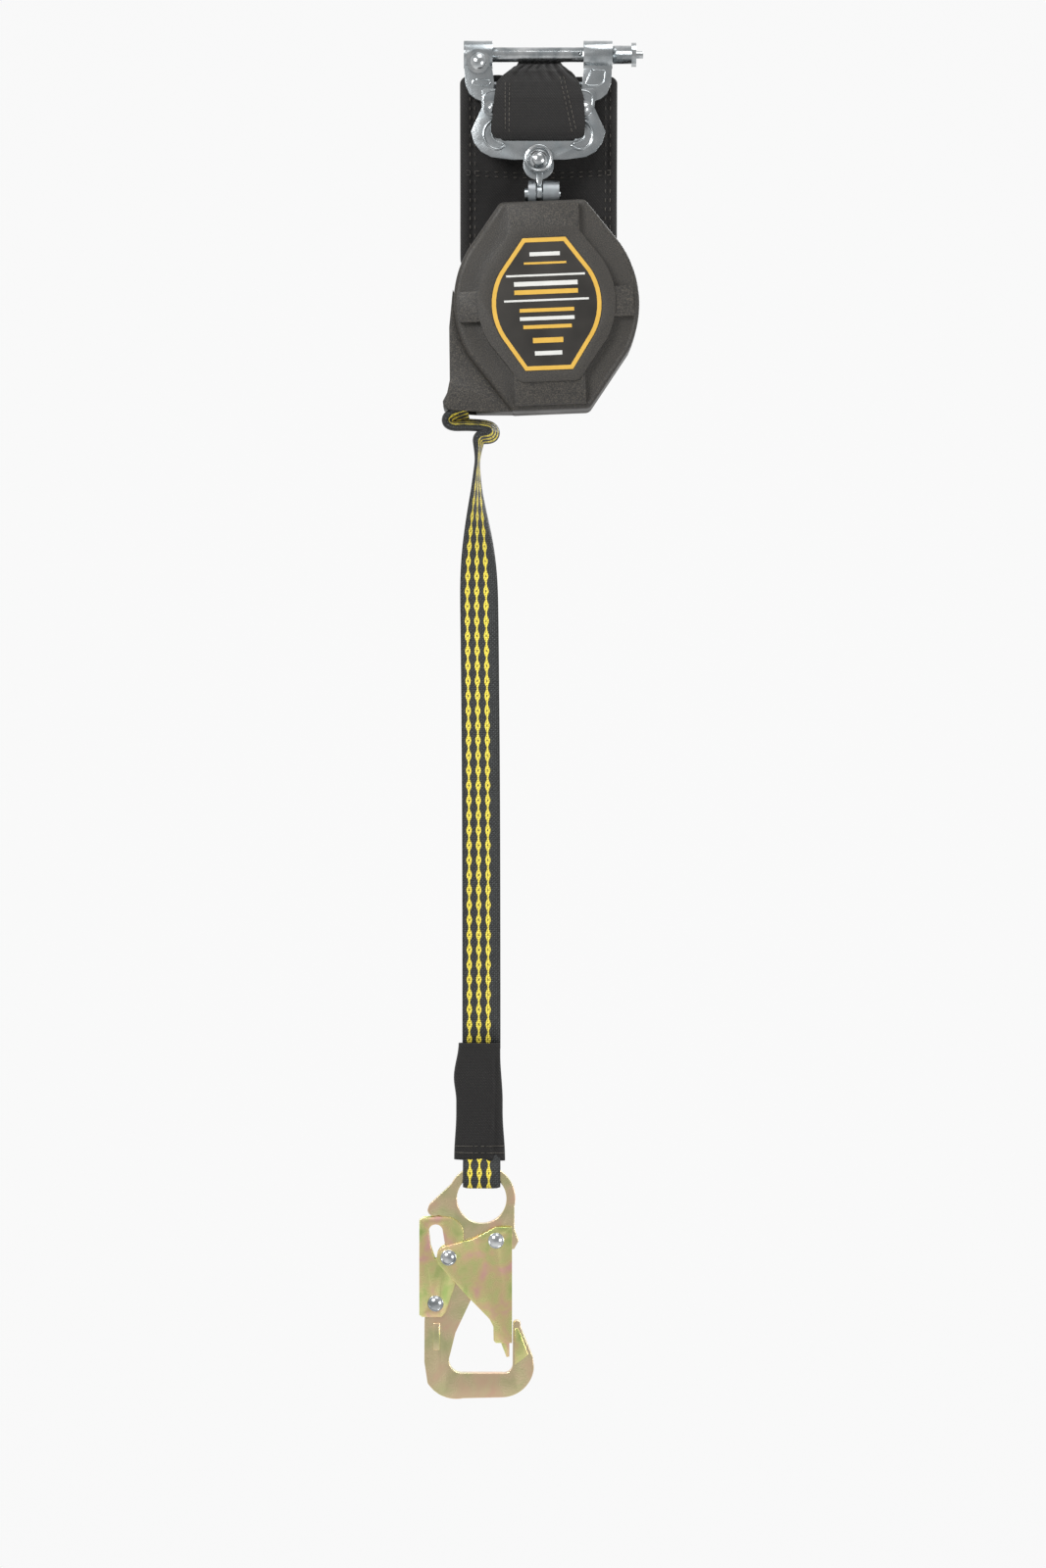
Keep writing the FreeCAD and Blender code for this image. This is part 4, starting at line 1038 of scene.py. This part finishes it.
# ---- stage -------------------------------------------------------------------
class LIFELINE_OT_stage(bpy.types.Operator):
    """Set the pale floor, the soft lights and the camera"""
    bl_idname = "lifeline.stage"
    bl_label = "Stage"

    def execute(self, context):
        scene = context.scene
        deselect()
        bpy.ops.mesh.primitive_plane_add(size=14, location=(0, 0, -2.55))
        floor = bpy.context.object
        floor.name = "floor"
        paper, shader = new_material("White Paper")
        shader.inputs["Base Color"].default_value = linear("F3F3F3")
        shader.inputs["Roughness"].default_value = 0.9
        dress(floor, paper)
        world = bpy.data.worlds.new("Studio")
        world.use_nodes = True
        sky = world.node_tree.nodes["Background"]
        sky.inputs["Color"].default_value = linear("FFFFFF")
        coord = add(world, "ShaderNodeTexCoord")
        split = add(world, "ShaderNodeSeparateXYZ", {0: coord.outputs["Generated"]})
        span = add(world, "ShaderNodeMapRange", {
            "Value": split.outputs["Y"], "From Min": -1.0, "To Min": 0.42, "To Max": 0.95})
        link(world, span.outputs["Result"], sky.inputs["Strength"])
        scene.world = world
        for name, place, size, power in (
                ("key", (-1.0, -1.5, 0.5), 0.7, 26), ("fill", (1.5, -1.3, -0.6), 0.6, 14),
                ("top", (0.3, -0.6, 1.3), 1.0, 10), ("back", (0.8, 1.6, 0.4), 0.9, 18)):
            lamp = bpy.data.lights.new(name, "AREA")
            lamp.energy = power
            lamp.size = size
            holder = bpy.data.objects.new(name, lamp)
            scene.collection.objects.link(holder)
            holder.location = place
            aim = Vector((0, 0, -0.45)) - Vector(place)
            holder.rotation_euler = aim.to_track_quat("-Z", "Y").to_euler()
        camera = bpy.data.cameras.new("camera")
        camera.sensor_fit = "VERTICAL"
        camera.sensor_height = 24
        camera.lens = camera.sensor_height * FRAMED_DISTANCE / FRAMED_HEIGHT
        camera.clip_end = 60
        holder = bpy.data.objects.new("camera", camera)
        holder.location = CAMERA_PLACE
        holder.rotation_euler = (math.radians(90), 0, 0)
        scene.collection.objects.link(holder)
        scene.camera = holder
        scene.view_settings.view_transform = "Standard"
        return {"FINISHED"}


STEPS = ("stage", "connector", "housing", "label", "pouch", "flap", "sleeve", "web", "loop", "hook")


class LIFELINE_PT_panel(bpy.types.Panel):
    """Lists the pieces in the order that they are made"""
    bl_idname = "LIFELINE_PT_panel"
    bl_label = "Self Retracting Lifeline"
    bl_space_type = "VIEW_3D"
    bl_region_type = "UI"
    bl_category = "Lifeline"

    def draw(self, context):
        for group in (context.scene.lifeline_sizes, context.scene.lifeline_colours):
            for key in group.__annotations__:
                self.layout.prop(group, key)
        for step in STEPS:
            self.layout.operator("lifeline." + step)


CLASSES = (
    LifelineSizes, LifelineColours, LIFELINE_OT_connector, LIFELINE_OT_housing, LIFELINE_OT_label,
    LIFELINE_OT_pouch, LIFELINE_OT_flap, LIFELINE_OT_web, LIFELINE_OT_sleeve, LIFELINE_OT_loop,
    LIFELINE_OT_hook, LIFELINE_OT_stage, LIFELINE_PT_panel,
)


def register():
    for cls in CLASSES:
        bpy.utils.register_class(cls)
    bpy.types.Scene.lifeline_sizes = bpy.props.PointerProperty(type=LifelineSizes)
    bpy.types.Scene.lifeline_colours = bpy.props.PointerProperty(type=LifelineColours)


def unregister():
    del bpy.types.Scene.lifeline_sizes
    del bpy.types.Scene.lifeline_colours
    for cls in reversed(CLASSES):
        bpy.utils.unregister_class(cls)


def main():
    register()
    for step in STEPS:
        getattr(bpy.ops.lifeline, step)()


if __name__ == "__main__":
    main()
